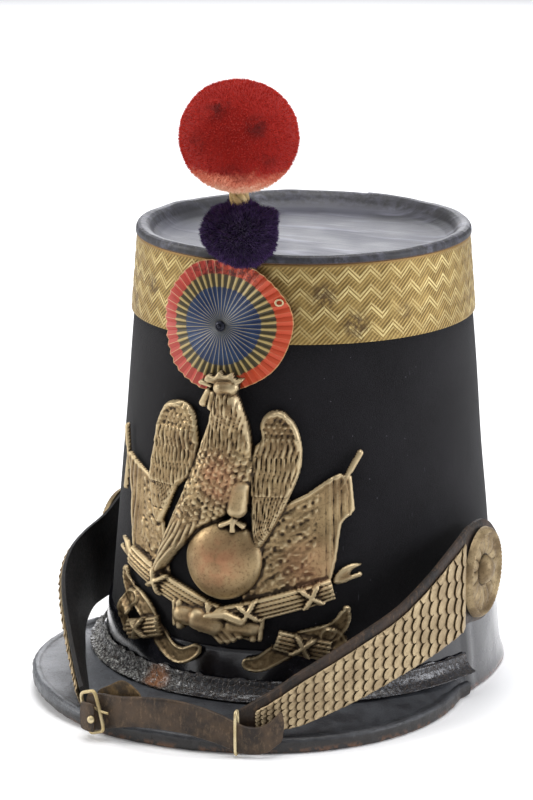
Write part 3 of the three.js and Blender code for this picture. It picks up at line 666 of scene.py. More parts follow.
welt = {"turn": 79.0, "along": 420, "across": 26, "thickness": 0.7, "bare": [(-17, 9), (83, 8), (-88, 7)],
        "dark": tone(20, 20, 23), "light": tone(52, 52, 58), "pale": tone(196, 196, 190),
        "leather": tone(150, 98, 58)}


def makeWelt():
    section = np.array([(2.9, 19.0), (3.7, 18.4), (4.1, 15.5), (5.2, 13.2), (7.0, 11.7), (8.4, 11.1), (8.5, 10.8)])

    def place(along, across):
        turn = np.radians(welt["turn"] * (1 - 2 * along))
        spot = across * (len(section) - 1)
        out = np.interp(spot, range(len(section)), section[:, 0])
        z = np.interp(spot, range(len(section)), section[:, 1])
        around = turn * 92
        left = ease((-turn + 0.15) / 0.7)
        crack = np.abs(cloud(around, across * 14, 2.3, 21)) + 0.5 * np.abs(cloud(around, across * 14, 1.1, 22))
        flakes = (0.25 + 0.75 * left) * (0.9 * crack - 0.35 + 0.5 * cloud(around, across * 9, 6, 23))
        middle = np.clip(np.minimum(across, 1 - across) * 8, 0, 1)
        ragged = np.where(across < 0.02, 0.9 * cloud(around, 0 * around, 3, 24), 0)
        return onHat(turn, z + 0.5 * flakes * middle + ragged, out + 1.0 * flakes * middle)

    piece = faceAway(gridPiece("cracked_welt", welt["along"], welt["across"], place))
    return smoothShade(thicken(piece, welt["thickness"]), 70)


def weltFinish():
    finish = Finish("crackedLacquer", 0.3, Specular_IOR_Level=0.6, Coat_Weight=0.35, Coat_Roughness=0.15)
    left = finish.spread(finish.axes()[0], 0.0, -45 * mm)
    flake = finish.cells(2.1, "DISTANCE_TO_EDGE")
    lines = finish.spread(flake, 0.12, 0.02)
    patch = finish.noise(2.2, 5, 0.7)
    finish.ground(finish.spread(patch, 0.35, 0.65), welt["dark"], welt["light"])
    pale = finish.times(finish.spread(finish.noise(1.5, 5, 0.8), 0.47, 0.57), left)
    finish.coat(pale, welt["pale"])
    finish.coat(finish.times(lines, 0.7), tone(60, 46, 34))
    for turnAt, radius in welt["bare"]:
        place = onHat(math.radians(turnAt), 13, 5)
        bare = finish.times(finish.near(place, radius, 0.3), finish.spread(patch, 0.38, 0.5))
        finish.coat(bare, welt["leather"])
    return finish.paint().bump(lines, -0.4, 0.8).bump(patch, 0.6, 0.6).material


# front plate: a sheet stamped in relief, drawn flat as distance round the body and height
plate = {"cell": 0.5, "low": (-67, 20), "high": (65, 158), "sheet": 0.7, "feltGap": 0.8, "bandGap": 2.2,
         "headLift": 4.8, "edge": 0.12,
         "main": tone(128, 104, 72), "light": tone(170, 146, 106), "worn": tone(216, 196, 156),
         "shade": tone(42, 30, 20),
         "copper": tone(190, 132, 98),
         "coppery": [((4, -100, 72), 17, 0.6), ((2, -97, 108), 15, 0.6), ((40, -82, 70), 16, 0.3)]}
plateOutline = {
    "leftFlag": [(-58, 107), (-51, 106), (-44, 103.5), (-37, 100), (-30, 90), (-23, 60), (-19, 50), (-34, 55),
                 (-46, 60), (-51, 74), (-54, 92)],
    "rightFlag": [(54, 108), (49, 109.5), (38, 102), (27, 95), (17, 76), (12, 60), (16, 50), (32, 56), (47, 61),
                  (51, 68), (53.4, 88), (57.6, 93)],
    "leftWing": [(-23.6, 138), (-29, 135.6), (-33, 128), (-36, 117), (-37.3, 101), (-35, 86), (-30, 82), (-25, 90),
                 (-20.5, 100), (-13, 106), (-10, 117), (-11.6, 126), (-13.5, 134), (-18, 137.6)],
    "rightWing": [(24.5, 138.5), (29, 136), (33, 130), (35.2, 121), (34.6, 111), (30, 98), (25, 87), (18, 75.5),
                  (16, 80), (14.4, 96), (13, 108), (14.4, 121), (17.5, 125), (16.8, 132), (19.5, 137)],
    "bird": [(6, 147.5), (9.5, 143), (12, 134), (14, 124), (15.8, 113), (14.6, 104), (11, 97), (2, 89), (-6, 84),
             (-11, 79), (-19, 71), (-27, 61), (-33, 56.5), (-29, 70), (-22, 88), (-15, 105), (-10.5, 117),
             (-7.5, 127), (-4, 136), (-2, 143), (0, 148)],
    "rightAxe": [(50, 62), (53, 67.5), (58, 70), (63, 69.4), (58.6, 67), (56.8, 62)],
    "leftAxe": [(-50, 62), (-53, 67), (-57.5, 69), (-61, 68.4), (-57, 65.6), (-55.6, 61)],
    "comb": [(-5, 150), (-4.4, 153.4), (-1.4, 152.8), (0.6, 155.4), (3, 153.6), (5.6, 155), (7.4, 152.6),
             (10.6, 152.6), (9, 150.2), (5, 149)],
}
# rods, fingers and bones: from, to, radius, height of the foot
plateRods = [
    ((52, 104), (55.5, 111.5), 1.2, 1.6), ((55.5, 111), (59.6, 118.6), 1.5, 1.4),
             ((-58, 104), (-60.4, 111), 1.1, 1.6),
    ((-60.4, 110), (-62.8, 117.6), 1.5, 1.4), ((-58.6, 106), (-60.6, 91), 1.5, 1.2),
             ((55.2, 108), (57.2, 94), 1.5, 1.0),
    ((10, 104), (9.2, 95), 4.6, 3.4), ((9.6, 96), (8.4, 90), 1.7, 4.0), ((8.4, 90), (3.4, 87.4), 1.1, 6.4),
    ((8.4, 90), (8.4, 85.6), 1.1, 6.4), ((8.4, 90), (12.4, 87.4), 1.1, 5.4), ((-1.5, 93), (-4, 88), 1.5, 4.2),
    ((-4, 88), (-8, 85.6), 1.0, 5), ((1.8, 148.2), (5.2, 148.6), 3.6, 3.2), ((-3, 148.5), (-7.4, 149.4), 1.2, 3.4),
    ((-4, 145.6), (-6.4, 140.2), 1.9, 2.4), ((-1.6, 145), (-2.8, 138.6), 1.6, 3.2), ((56, 63.4), (62, 65), 1.2, 1.4),
    ((-56, 62.6), (-60.6, 64), 1.2, 1.4), ((-13, 45.6), (-4, 45.2), 4.6, 3.2), ((-5, 45), (3, 43.4), 5.2, 3.6),
    ((18, 43.4), (10, 43.6), 4.4, 3.0), ((14, 46.2), (7, 48.4), 2.0, 6.4), ((7, 48.4), (-0.5, 46.8), 1.7, 6.8),
    ((1.5, 41), (6, 36.6), 1.6, 4.8), ((4.2, 41.8), (8.8, 37.2), 1.6, 5.4), ((7, 42.6), (11.2, 38.2), 1.6, 5.6),
    ((9.6, 43.6), (13.6, 39.6), 1.5, 5.4), ((-14.4, 50), (-13.2, 40.4), 1.7, 5.0),
             ((-17.2, 50), (-16, 40.8), 1.3, 4.4),
    ((19.4, 47.6), (19, 38.6), 1.6, 4.6), ((22, 47.4), (21.6, 38.4), 1.2, 4.2),
]
# bundles of rods with cross bands: from, to, half width, height of the foot, band places
plateBundles = [
    ((-49, 63.6), (20, 41), 4.8, 1.6, (0.3, 0.72)), ((50.5, 60), (-6, 43), 4.8, 2.4, (0.16, 0.6)),
    ((-46, 30.5), (-26, 37), 4.6, 1.2, (0.45,)), ((50, 32.4), (28, 38), 4.6, 1.2, (0.5,)),
]
plateRibbons = [
    [(16, 26.4), (22, 27), (29, 31.4), (37, 36.6), (45, 39), (51, 40.4), (55, 44), (57, 50)],
    [(48, 40), (53, 36), (54, 29), (50, 25.4)],
    [(-6, 30.6), (-13, 26.4), (-21, 27.4), (-28, 33), (-34, 40.4), (-41, 44.6), (-49, 46), (-54, 50), (-55, 55)],
    [(-44, 45.4), (-51, 42), (-54, 35), (-50, 30)],
]


def smoothOutline(points, fine=5):
    spot = np.array(points, float)
    before, after, further = np.roll(spot, 1, 0), np.roll(spot, -1, 0), np.roll(spot, -2, 0)
    t = np.linspace(0, 1, fine, endpoint=False)[None, :, None]
    bend = (2 * before - 5 * spot + 4 * after - further)[:, None]
    twist = (3 * spot - before - 3 * after + further)[:, None]
    course = 0.5 * (2 * spot[:, None] + (after - before)[:, None] * t + bend * t ** 2 + twist * t ** 3)
    return course.reshape(-1, 2)


def alongLine(x, y, start, end):
    # share of the way along a line, and the signed distance off it
    (startX, startY), (endX, endY) = start, end
    runX, runY = endX - startX, endY - startY
    length = math.hypot(runX, runY)
    share = ((x - startX) * runX + (y - startY) * runY) / length ** 2
    side = ((x - startX) * -runY + (y - startY) * runX) / length
    return share, side, length


def offLine(x, y, start, end):
    share, side, length = alongLine(x, y, start, end)
    past = np.maximum(np.maximum(-share, share - 1), 0) * length
    return np.hypot(side, past), np.clip(share, 0, 1)


def insideBy(x, y, outline):
    nearest, within = np.full(x.shape, 1e9), np.zeros(x.shape, bool)
    for (startX, startY), (endX, endY) in zip(outline, np.roll(outline, -1, 0)):
        nearest = np.minimum(nearest, offLine(x, y, (startX, startY), (endX, endY))[0])
        crosses = (startY > y) != (endY > y)
        within ^= crosses & (x < startX + (y - startY) * (endX - startX) / (endY - startY + 1e-12))
    return np.where(within, nearest, -nearest)


def shingles(x, y, wide, high):
    # rows of rounded feathers whose tips overlap the row below
    best = np.zeros(x.shape)
    for step in (2, 1, 0):
        row = np.floor(y / high) + step
        drop = (row * high - y) / (1.7 * high)
        aside = ((x / wide + 0.5 * (row % 2)) % 1 - 0.5) * 2
        covers = (drop > 0) & (drop < 1) & (np.abs(aside) < np.sqrt(np.clip(1 - drop ** 2.6, 0, 1)))
        best = np.where(covers & (best == 0), 0.25 + 0.75 * drop - 0.3 * aside ** 2, best)
    return best


def shoulder(depth, radius):
    return np.sqrt(np.clip(1 - (1 - np.clip(depth / radius, 0, 1)) ** 2, 0, 1))


def wingRelief(x, y, depth, sideways):
    # sideways is 1 for the right wing and -1 for the left
    top, span = 138.0, 60.0
    x = x * sideways
    heights = [75, 86, 98, 110, 122, 130, 138]
    inner = np.interp(y, heights, [14.6, 14.6, 13.6, 12.6, 14.6, 15.6, 20])
    outer = np.interp(y, heights, [18.6, 26, 31.4, 35.4, 36, 33.6, 26])
    share = np.clip((x - inner) / (outer - inner), 0, 1)
    down = (top - y) / span
    tier = (down > 0.34).astype(float) + (down > 0.62)
    quills = ridge(share * (9 + 2 * tier) + 0.5 * tier + 0.15 * np.sin(y * 0.6))
    lengthwise = quills * 0.85 + 0.3 * cloud(x, y / 4, 0.8, 16)
    tips = 0.5 * (0.34 - down) * (tier == 0) + 0.5 * ease((down - 0.34) / 0.28) * (tier == 1)
    coverts = 0.6 * shingles(x, y, 2.3, 2.2) + 0.3 * cloud(x, y, 1.3, 17)
    feathers = np.where(down < 0.2, coverts, lengthwise + tips)
    rim = 1.5 * np.exp(-((depth - 1.4) / 1.3) ** 2) * ease((share - 0.3) / 0.4 + (0.12 - down) * 8)
    return 1.6 + 1.0 * shoulder(depth, 5) + feathers * 1.15 * ease(depth / 1.6) + rim


def birdRelief(x, y, depth):
    crown = 5.4 * shoulder(depth, 10)
    lean = (x + 2) - (y - 110) * 0.12
    neck = ease((y - 117) / 6)
    tail = ease((92 - y) / 10)
    hackles = ridge(lean / 1.7 + 0.3 * np.sin(y * 0.4)) * (0.6 + 0.4 * ridge(y / 8.5 + np.floor(lean / 1.7) * 0.37))
    hackles = hackles + 0.3 * cloud(x, y / 3, 0.9, 12)
    ruffled = 0.5 * cloud(x, y, 3.0, 14)
    breast = 0.6 * shingles(x * 0.95 + y * 0.3 + ruffled, y - x * 0.35 + ruffled, 3.0, 2.5)
    breast = breast + 0.35 * cloud(x, y, 1.5, 15)
    share, side, _ = alongLine(x, y, (-4, 104), (-32, 56))
    broken = 0.55 + 0.45 * ridge(share * 5 + np.floor(side / 2.1) * 0.41)
    plumes = ridge(side / 2.1 + 0.4 * np.sin(share * 9)) * broken
    detail = hackles * neck * 1.2 + breast * (1 - neck) * (1 - tail) * 1.6 + plumes * tail * 1.4
    return 1.6 + crown + detail * ease(depth / 1.4)


def flagRelief(x, y, depth, sideways):
    x = x * sideways
    near = ease((x - 43) / 6)
    folds = 0.8 * ridge(x / 3.3 + (y - 90) * 0.018) * near
    drape = 0.5 * np.sin((x * 0.35 + y) * 0.22) + 0.18 * np.sin((x - y) * 0.5)
    hem = 0.3 * np.exp(-((depth - 1.1) / 0.5) ** 2)
    row = (y - 0.62 * x) / 6.4
    speckle = cloud(x, y, 1.5, 18) * np.clip(1.3 - (((row % 1) - 0.5) * 2.6) ** 2, 0, 1)
    sheet = 1.3 + shoulder(depth, 1.2) * 0.5 + folds + drape * 0.5 * ease(depth / 4) + hem
    return sheet + 0.75 * speckle * (x < 43) * ease((depth - 1.5) / 2)


def bandRelief(x, y, course, half):
    best, height = np.full(x.shape, -9.0), np.full(x.shape, -9.0)
    outline = smoothOutline(course + course[::-1], 4)[: 4 * (len(course) - 1) + 1]
    for index, (start, end) in enumerate(zip(outline, outline[1:])):
        away, share = offLine(x, y, start, end)
        along = (index + share) / (len(outline) - 1)
        width = half * (0.4 + 0.6 * np.sin(np.clip(along * 1.04, 0, 1) * math.pi) ** 0.4)
        depth = width - away
        closer = depth > best
        wave = 1.6 + 0.9 * np.sin(along * 14) + 0.6 * np.exp(-((depth - 0.9) / 0.4) ** 2)
        wave = wave + 0.35 * cloud(x, y, 1.5, 19) * ease(depth - 1.6)
        best, height = np.where(closer, depth, best), np.where(closer, wave, height)
    return best, height


def plateHeights(x, y):
    depth, height = np.full(x.shape, -9.0), np.zeros(x.shape)

    def lay(itsDepth, itsHeight):
        nonlocal depth, height
        shown = itsDepth > 0
        height = np.where(shown, np.maximum(height, itsHeight), height)
        depth = np.maximum(depth, itsDepth)

    inside = {name: insideBy(x, y, smoothOutline(points)) for name, points in plateOutline.items()}
    for name, sideways in (("leftFlag", -1), ("rightFlag", 1)):
        lay(inside[name], flagRelief(x, y, inside[name], sideways))
    for name, sideways in (("leftWing", -1), ("rightWing", 1)):
        lay(inside[name], wingRelief(x, y, inside[name], sideways) + 0.8)
    lay(inside["bird"], birdRelief(x, y, inside["bird"]))
    lay(inside["comb"], 4.2 + 1.2 * shoulder(inside["comb"], 1.2))
    for name in ("leftAxe", "rightAxe"):
        lay(inside[name], 1.4 + 1.4 * shoulder(inside[name], 2.4))
    for course in plateRibbons:
        lay(*bandRelief(x, y, course, 4.7))
    for start, end, half, foot, bands in plateBundles:
        share, side, length = alongLine(x, y, start, end)
        within = np.minimum(half - np.abs(side), np.minimum(share, 1 - share) * length)
        rods = foot + 2.4 * shoulder(half - np.abs(side), half) + 1.3 * ridge(side / (half / 2.5) + 0.5)
        for band in bands:
            for slant in (-0.8, 0.8):
                off = np.abs((share - band) * length + side * slant)
                tie = foot + 3.4 + 2.6 * shoulder(half - np.abs(side), half) - 0.4 * off
                rods = np.where(off < 1.25, np.maximum(rods, tie), rods)
        lay(within, rods)
    globe = 17.5 - np.hypot(x - 3.4, (y - 71.4) * 0.97)
    lay(globe, 1.6 + 7.6 * shoulder(globe, 17.5) ** 1.2)
    for start, end, radius, foot in plateRods:
        away, _ = offLine(x, y, start, end)
        lay(radius - away, foot + 1.05 * np.sqrt(np.clip(radius ** 2 - away ** 2, 0, None)))
    eye = 0.9 - np.hypot(x - 1.2, y - 149)
    return depth, height + 0.5 * shoulder(eye, 0.9) * (eye > 0) + 0.07 * cloud(x, y, 2.6, 31)


def makePlate():
    (lowX, lowY), (highX, highY) = plate["low"], plate["high"]
    columns, rows = round((highX - lowX) / plate["cell"]), round((highY - lowY) / plate["cell"])
    kept = {}

    def hollows(height):
        # how far each point stands over the mean of those round it
        field = height.reshape(rows + 1, columns + 1)
        around = sum(np.roll(np.roll(field, i, 0), j, 1) for i in (-3, -1, 0, 1, 3) for j in (-3, -1, 0, 1, 3)) / 25
        return (field - around).ravel()

    def place(along, across):
        x, y = lowX + (highX - lowX) * along, lowY + (highY - lowY) * across
        depth, height = plateHeights(x, y)
        # corners just past an outline are drawn back onto it, so that the edge runs smoothly
        step = 0.2
        slopeX = (plateHeights(x + step, y)[0] - depth) / step
        slopeY = (plateHeights(x, y + step)[0] - depth) / step
        kept["depth"] = depth
        kept["relief"] = hollows(np.where(depth > 0, height, 0.0))
        past = (depth < plate["edge"]) & (depth > -1.0)
        x = np.where(past, x + slopeX * (plate["edge"] - depth), x)
        y = np.where(past, y + slopeY * (plate["edge"] - depth), y)
        height = np.where(past & (height < 0.5), 1.6, height)
        edge = shoulder(depth + 0.2, 0.8)
        foot = plate["bandGap"] + (plate["feltGap"] - plate["bandGap"]) * ease((y - 36) / 22)
        head = plate["headLift"] * ease((y - 128) / 13) * (1 - ease((np.abs(x - 1) - 10) / 4))
        return onHat(x / halfWidthAt(y), y, foot + head + 0.3 + height * (0.55 + 0.45 * edge))

    piece = gridPiece("stamped_plate", columns, rows, place)
    depth = kept["depth"]
    mesh = piece.data
    mesh.attributes.new("relief", "FLOAT", "POINT").data.foreach_set("value", kept["relief"])
    inside = [[depth[corner] for corner in face.vertices] for face in mesh.polygons]
    cut = [max(depths) < -0.02 or min(depths) < -0.95 for depths in inside]
    pick(piece)
    bpy.ops.object.mode_set(mode="EDIT")
    bpy.ops.mesh.select_mode(type="FACE")
    bpy.ops.mesh.select_all(action="DESELECT")
    bpy.ops.object.mode_set(mode="OBJECT")
    mesh.polygons.foreach_set("select", cut)
    bpy.ops.object.mode_set(mode="EDIT")
    bpy.ops.mesh.delete(type="FACE")
    bpy.ops.mesh.select_mode(type="VERT")
    bpy.ops.object.mode_set(mode="OBJECT")
    faceAway(piece)
    return smoothShade(thicken(piece, plate["sheet"]), 65)


def plateFinish():
    finish = Finish("stampedBrass", 0.4, 0.7)
    broad = finish.noise(16, 4)
    fine = finish.noise(1.3, 5, 0.7)
    finish.ground(finish.spread(broad, 0.32, 0.66), plate["main"], plate["light"])
    finish.coat(finish.spread(fine, 0.48, 0.7, 0.0, 0.65), tone(84, 64, 42))
    relief = finish.attribute("relief")
    finish.coat(finish.spread(relief, 0.02, 0.45, 0.0, 0.75), plate["worn"])
    finish.coat(finish.spread(relief, -0.01, -0.38, 0.0, 0.92), plate["shade"])
    for place, radius, share in plate["coppery"]:
        copper = finish.times(finish.near(place, radius, 0.2), finish.spread(finish.noise(5, 4), 0.35, 0.65, 0.2,
                                                                             share))
        finish.coat(copper, plate["copper"])
    low = finish.axes()[2]
    grime = finish.times(finish.spread(low, 56 * mm, 34 * mm, 0.0, 0.55), finish.spread(broad, 0.3, 0.6, 0.5, 1.0))
    finish.coat(grime, tone(70, 54, 34))
    # painted shade: darker in the plate's hollows and corners
    shadeInHollows = finish.hollows(3.2)
    finish.coat(finish.spread(shadeInHollows, 0.86, 0.42), tone(44, 32, 20))
    finish.paint(fine, 0.3, 0.7, 0.34, 0.55)
    return finish.bump(fine, 0.12, 0.6).bump(finish.noise(0.5, 3), 0.04, 0.5).material


# cockade
cockade = {"z": 173.5, "turn": -1.5, "radius": 28.8, "widerRight": 1.6, "offset": 3.7, "pleats": 44, "rings": 60,
           "sheet": 0.35,
           "blue": tone(30, 48, 86), "blueLight": tone(48, 70, 106), "hub": tone(50, 62, 78),
           "gold": tone(184, 160, 98), "olive": tone(76, 68, 46),
           "redRight": tone(204, 78, 44), "redLeft": tone(186, 70, 58), "lines": tone(206, 188, 140)}


def onCockade(right, up, out):
    height = cockade["z"] + up
    return onHat(np.radians(cockade["turn"]) + right / halfWidthAt(height), height, cockade["offset"] + out)


def makeCockade():
    def place(along, across):
        angle = math.tau * along
        reach = cockade["radius"] * across
        reach = reach * (1 + across * (0.012 * np.sin(3 * angle + 1) + 0.01 * np.sin(7 * angle)))
        right, up = reach * np.cos(angle), reach * np.sin(angle)
        wider = 1 + cockade["widerRight"] / cockade["radius"] * right / cockade["radius"]
        right = np.where(right > 0, right * wider, right)
        fold = np.abs(((along * cockade["pleats"]) % 1) * 2 - 1) - 0.5
        depth = 0.95 * ease(across / 0.9) + 0.1
        wave = 0.7 * np.sin(2 * angle + 0.6) * across ** 2 + 0.3 * np.sin(5 * angle) * across ** 3
        return onCockade(right, up, 1.3 + fold * depth + wave * 0.6)

    piece = gridPiece("pleated_cockade", cockade["pleats"] * 6, cockade["rings"], place)
    faceAway(closeSeams(piece))
    return smoothShade(thicken(piece, cockade["sheet"]), 25)


def cockadeFinish():
    finish = Finish("cockadePaint", 0.45, 0.1)
    flat = finish.axes("UV")
    angle, reach = flat[0], flat[1]
    grime = finish.noise(2.2, 5, 0.7)
    broad = finish.noise(12, 4)
    pleat = finish.maths("FRACT", finish.times(angle, cockade["pleats"]))
    crease = finish.maths("PINGPONG", pleat, 0.5)  # 0 on a fold, 0.5 half way to the next
    # painted highlight: a thin line along each pleat ridge
    line = finish.spread(finish.times(crease, reach), 0.036, 0.01)
    leftSide = finish.spread(finish.maths("COSINE", finish.times(angle, math.tau)), 0.35, -0.25)
    hub = finish.spread(reach, 0.34, 0.06)
    blue = finish.blend(finish.spread(broad, 0.35, 0.65), cockade["blue"], cockade["blueLight"])
    blue = finish.blend(hub, blue, cockade["hub"])
    # painted highlight: gold stripes on the pleat ridges of the middle ring; between them is the ring's olive ground
    offRidgeHighlight = finish.spread(finish.maths("ADD", crease, finish.times(grime, 0.14)), 0.2, 0.3)
    gold = finish.blend(offRidgeHighlight, cockade["gold"], cockade["olive"])
    red = finish.blend(leftSide, cockade["redRight"], cockade["redLeft"])
    top = finish.spread(finish.maths("SINE", finish.times(angle, math.tau)), 0.72, 0.95)
    red = finish.blend(finish.times(top, finish.spread(grime, 0.4, 0.6)), red, tone(96, 34, 28))
    wobble = finish.maths("ADD", reach, finish.times(finish.maths("SUBTRACT", grime, 0.5), 0.05))
    finish.ground(finish.spread(wobble, 0.575, 0.6), blue, gold)
    finish.coat(finish.spread(wobble, 0.78, 0.8), red)
    # painted highlights on the pleat ridges: full across the inner rings, on the outer red ring only on its left side
    lines = finish.times(line, finish.spread(reach, 0.08, 0.34, 0.25, 1.0))
    fade = finish.maths("MAXIMUM", leftSide, finish.spread(reach, 0.86, 0.76))
    lines = finish.times(lines, finish.maths("MAXIMUM", fade, 0.2))
    finish.coat(finish.times(lines, 0.75), cockade["lines"])
    dirt = finish.spread(finish.noise(1.1, 5, 0.8), 0.62, 0.72)
    finish.coat(finish.times(dirt, 0.7), tone(58, 42, 30))
    edge = finish.spread(reach, 0.984, 0.994)
    finish.coat(finish.times(edge, 0.7), tone(206, 176, 120))
    return finish.paint().bump(grime, 0.15, 0.5).material


def cockadeTrim():
    turn = math.radians(cockade["turn"])
    normal = Vector((math.sin(turn), -math.cos(turn), 0))
    profile = [(0, -0.6), (2.3, -0.6), (2.4, 0.1), (2.0, 0.8), (1.3, 1.2), (1.0, 0.9), (0.7, 1.3), (0, 1.5)]
    seat = toFrame(*onCockade(0.0, 0.0, 1.9))
    rivet = spinPiece("cockade_rivet_head", profile, 24, seat, normal)
    ring = [onCockade(24.6 + 1.5 * math.cos(a), 12 + 1.3 * math.sin(a), 2.5 + 0.3 * math.sin(2 * a))
            for a in np.linspace(0, math.tau, 24, endpoint=False)]
    return smoothShade(rivet, 50), smoothShade(wirePiece("cockade_ring", ring, 0.42), 80)


# stem and pompoms
stem = {"x": 6.2, "y": -80.5, "radius": 4.4, "low": 206.0, "high": 246.0, "strands": 7, "twist": 0.21,
        "tangLow": 178.0, "tangHigh": 207.0, "tangWide": 7.0, "tangOut": 2.4, "tangSheet": 0.9}


def makeStem():
    def place(along, across):
        z = stem["low"] + (stem["high"] - stem["low"]) * across
        angle = math.tau * along
        wound = ridge(along * stem["strands"] + z * stem["twist"])
        reach = stem["radius"] * (0.78 + 0.22 * wound)
        return stem["x"] + reach * np.sin(angle), stem["y"] - reach * np.cos(angle), z

    rod = closeEnds(closeSeams(gridPiece("wound_stem", 84, 110, place)))

    def tangPlace(along, across):
        z = stem["tangLow"] + (stem["tangHigh"] - stem["tangLow"]) * across
        turn = (stem["x"] + (along - 0.5) * stem["tangWide"]) / hat["topRadius"]
        return *onHat(turn, np.minimum(z, hat["height"]), stem["tangOut"])[:2], z

    tang = thicken(faceAway(gridPiece("tang", 4, 12, tangPlace)), stem["tangSheet"])
    return smoothShade(joinPieces("wound_stem", [rod, tang]), 60)


pompoms = {
    "purple": {"radius": 18.5, "halfHeight": 16.5, "z": 215.4, "lump": 0.12, "lumpSize": 13,
               "tufts": 12000, "tuftLong": 2.6, "tuftWide": 0.34, "seed": 5,
               "dark": tone(18, 10, 26), "main": tone(46, 28, 66), "light": tone(82, 56, 108),
               "bumps": [((0.76, 0.34, 0.56), 0.2, 0.03), ((0.52, 0.24, 0.82), -0.14, 0.02),
                         ((0.2, -0.9, -0.2), 0.07, 0.12), ((-0.2, -0.9, 0.35), -0.06, 0.03)]},
    "red": {"radius": 27.2, "halfHeight": 25.4, "z": 257.6, "lump": 0.02, "lumpSize": 16,
            "tufts": 25000, "tuftLong": 2.0, "tuftWide": 0.3, "seed": 8,
            "dark": tone(120, 20, 14), "main": tone(178, 36, 28), "light": tone(206, 56, 40),
            "stains": [((5, -102, 274), 9, 0.8), ((24, -99, 266), 8, 0.8), ((14, -102, 243), 10, 0.55),
                       ((-2, -106, 258), 7, 0.5), ((28, -94, 251), 8, 0.45)]},
}
# where the small pompom meets the crown's lip and the lace
pompomSeat = {"lipRadius": 77.2, "lipTop": 205.2, "front": 80.3, "laceTop": 202.6}


def makePompom(name):
    wool = pompoms[name]
    clearSelection()
    bpy.ops.mesh.primitive_ico_sphere_add(subdivisions=6, radius=1)
    ball = bpy.context.object
    mesh = ball.data
    facing = np.empty(len(mesh.vertices) * 3)
    mesh.vertices.foreach_get("co", facing)
    facing = facing.reshape(-1, 3)
    pick = np.random.RandomState(wool["seed"])
    size = np.array([wool["radius"], wool["radius"], wool["halfHeight"]])

    def reach(way):
        x, y, z = way.T * 30
        lumps = cloud(x + z * 19 / 30, y - z * 14 / 30, wool["lumpSize"], wool["seed"])
        lumps += 0.5 * cloud(x - z * 23 / 30, z + y * 11 / 30, wool["lumpSize"] / 2, wool["seed"] + 1)
        grown = 1 + wool["lump"] * (lumps - 0.9)
        for toward, high, wide in wool.get("bumps", []):
            near = way @ (np.array(toward) / np.linalg.norm(toward))
            grown += high * np.exp((near - 1) / wide)
        return grown

    def clearOf(points):
        # the small pompom lies against the crown's lip and the cockade
        if name != "purple":
            return points
        x, y, z = points.T
        flat = np.hypot(x, y)
        seat = np.where(flat < pompomSeat["lipRadius"], pompomSeat["lipTop"],
                        np.where(flat < pompomSeat["front"], pompomSeat["laceTop"], 0))
        push = np.maximum(seat - z, 0)
        inLace = (z < pompomSeat["laceTop"] + 0.4) & (push > 6)
        outwards = np.where(inLace, np.maximum(pompomSeat["front"] + 0.1 - flat, 0), 0)
        scale = 1 + outwards / np.maximum(flat, 1)
        return np.column_stack((x * scale, y * scale, np.where(outwards > 0, z, z + push)))

    middle = np.array([stem["x"], stem["y"], wool["z"]])
    inner = 1 - wool["tuftLong"] * 0.62 / wool["radius"]
    skin = clearOf(middle + facing * size * (reach(facing) * inner)[:, None])
    count = wool["tufts"]
    step = np.arange(count) + 0.5
    high = 1 - 2 * step / count
    around = step * math.pi * (3 - math.sqrt(5))
    wide = np.sqrt(1 - high ** 2)
    way = np.column_stack((wide * np.cos(around), wide * np.sin(around), high)) + pick.normal(0, 0.012, (count, 3))
    way /= np.linalg.norm(way, axis=1)[:, None]
    foot = clearOf(middle + way * size * (reach(way) * (inner - 0.035))[:, None])
    lean = way + pick.normal(0, 0.3, (count, 3))
    lean /= np.linalg.norm(lean, axis=1)[:, None]
    side = np.cross(lean, pick.normal(0, 1, (count, 3)))
    side /= np.linalg.norm(side, axis=1)[:, None]
    other = np.cross(lean, side)
    long = wool["tuftLong"] * (0.7 + 0.5 * pick.rand(count))[:, None]
    rings = []
    for corner in range(3):
        angle = math.tau * corner / 3
        rings.append(foot + (side * math.cos(angle) + other * math.sin(angle)) * wool["tuftWide"])
    rings.append(foot + lean * long)
    tufts = clearOf(np.stack(rings, 1).reshape(-1, 3))
    faces = [[0, 1, 3], [1, 2, 3], [2, 0, 3], [2, 1, 0]]
    ballFaces = [list(face.vertices) for face in mesh.polygons]
    starts = len(skin) + 4 * np.arange(count)
    allFaces = ballFaces + [[start + c for c in face] for start in starts.tolist() for face in faces]
    points = np.vstack((skin, tufts)) * mm + [axisX, axisY, 0]
    made = bpy.data.meshes.new(f"{name}_pompom")
    made.from_pydata(points.tolist(), [], allFaces)
    shade = made.attributes.new("strand", "FLOAT", "POINT")
    shade.data.foreach_set("value", np.concatenate((np.full(len(skin), 0.1), np.repeat(pick.rand(count), 4))))
    # rise runs from the foot of a tuft to its tip; it sets where painted shade lies in the pile
    rise = made.attributes.new("rise", "FLOAT", "POINT")
    rise.data.foreach_set("value", np.concatenate((np.zeros(len(skin)), np.tile([0.3, 0.3, 0.3, 1], count))))
    ball.data = made
    ball.name = f"{name}_pompom"
    return ball


def woolFinish(name):
    wool = pompoms[name]
    finish = Finish(f"{name}Wool", 0.95, Sheen_Weight=0.15, Sheen_Roughness=0.5, Specular_IOR_Level=0.1)
    finish.ground(finish.spread(finish.attribute("strand"), 0.1, 0.9), wool["main"], wool["light"])
    # painted shade: darker on the ball and the feet of the tufts, fading out towards their tips
    finish.coat(finish.spread(finish.attribute("rise"), 0.8, 0.1, 0.0, 0.6), wool["dark"])
    return finish


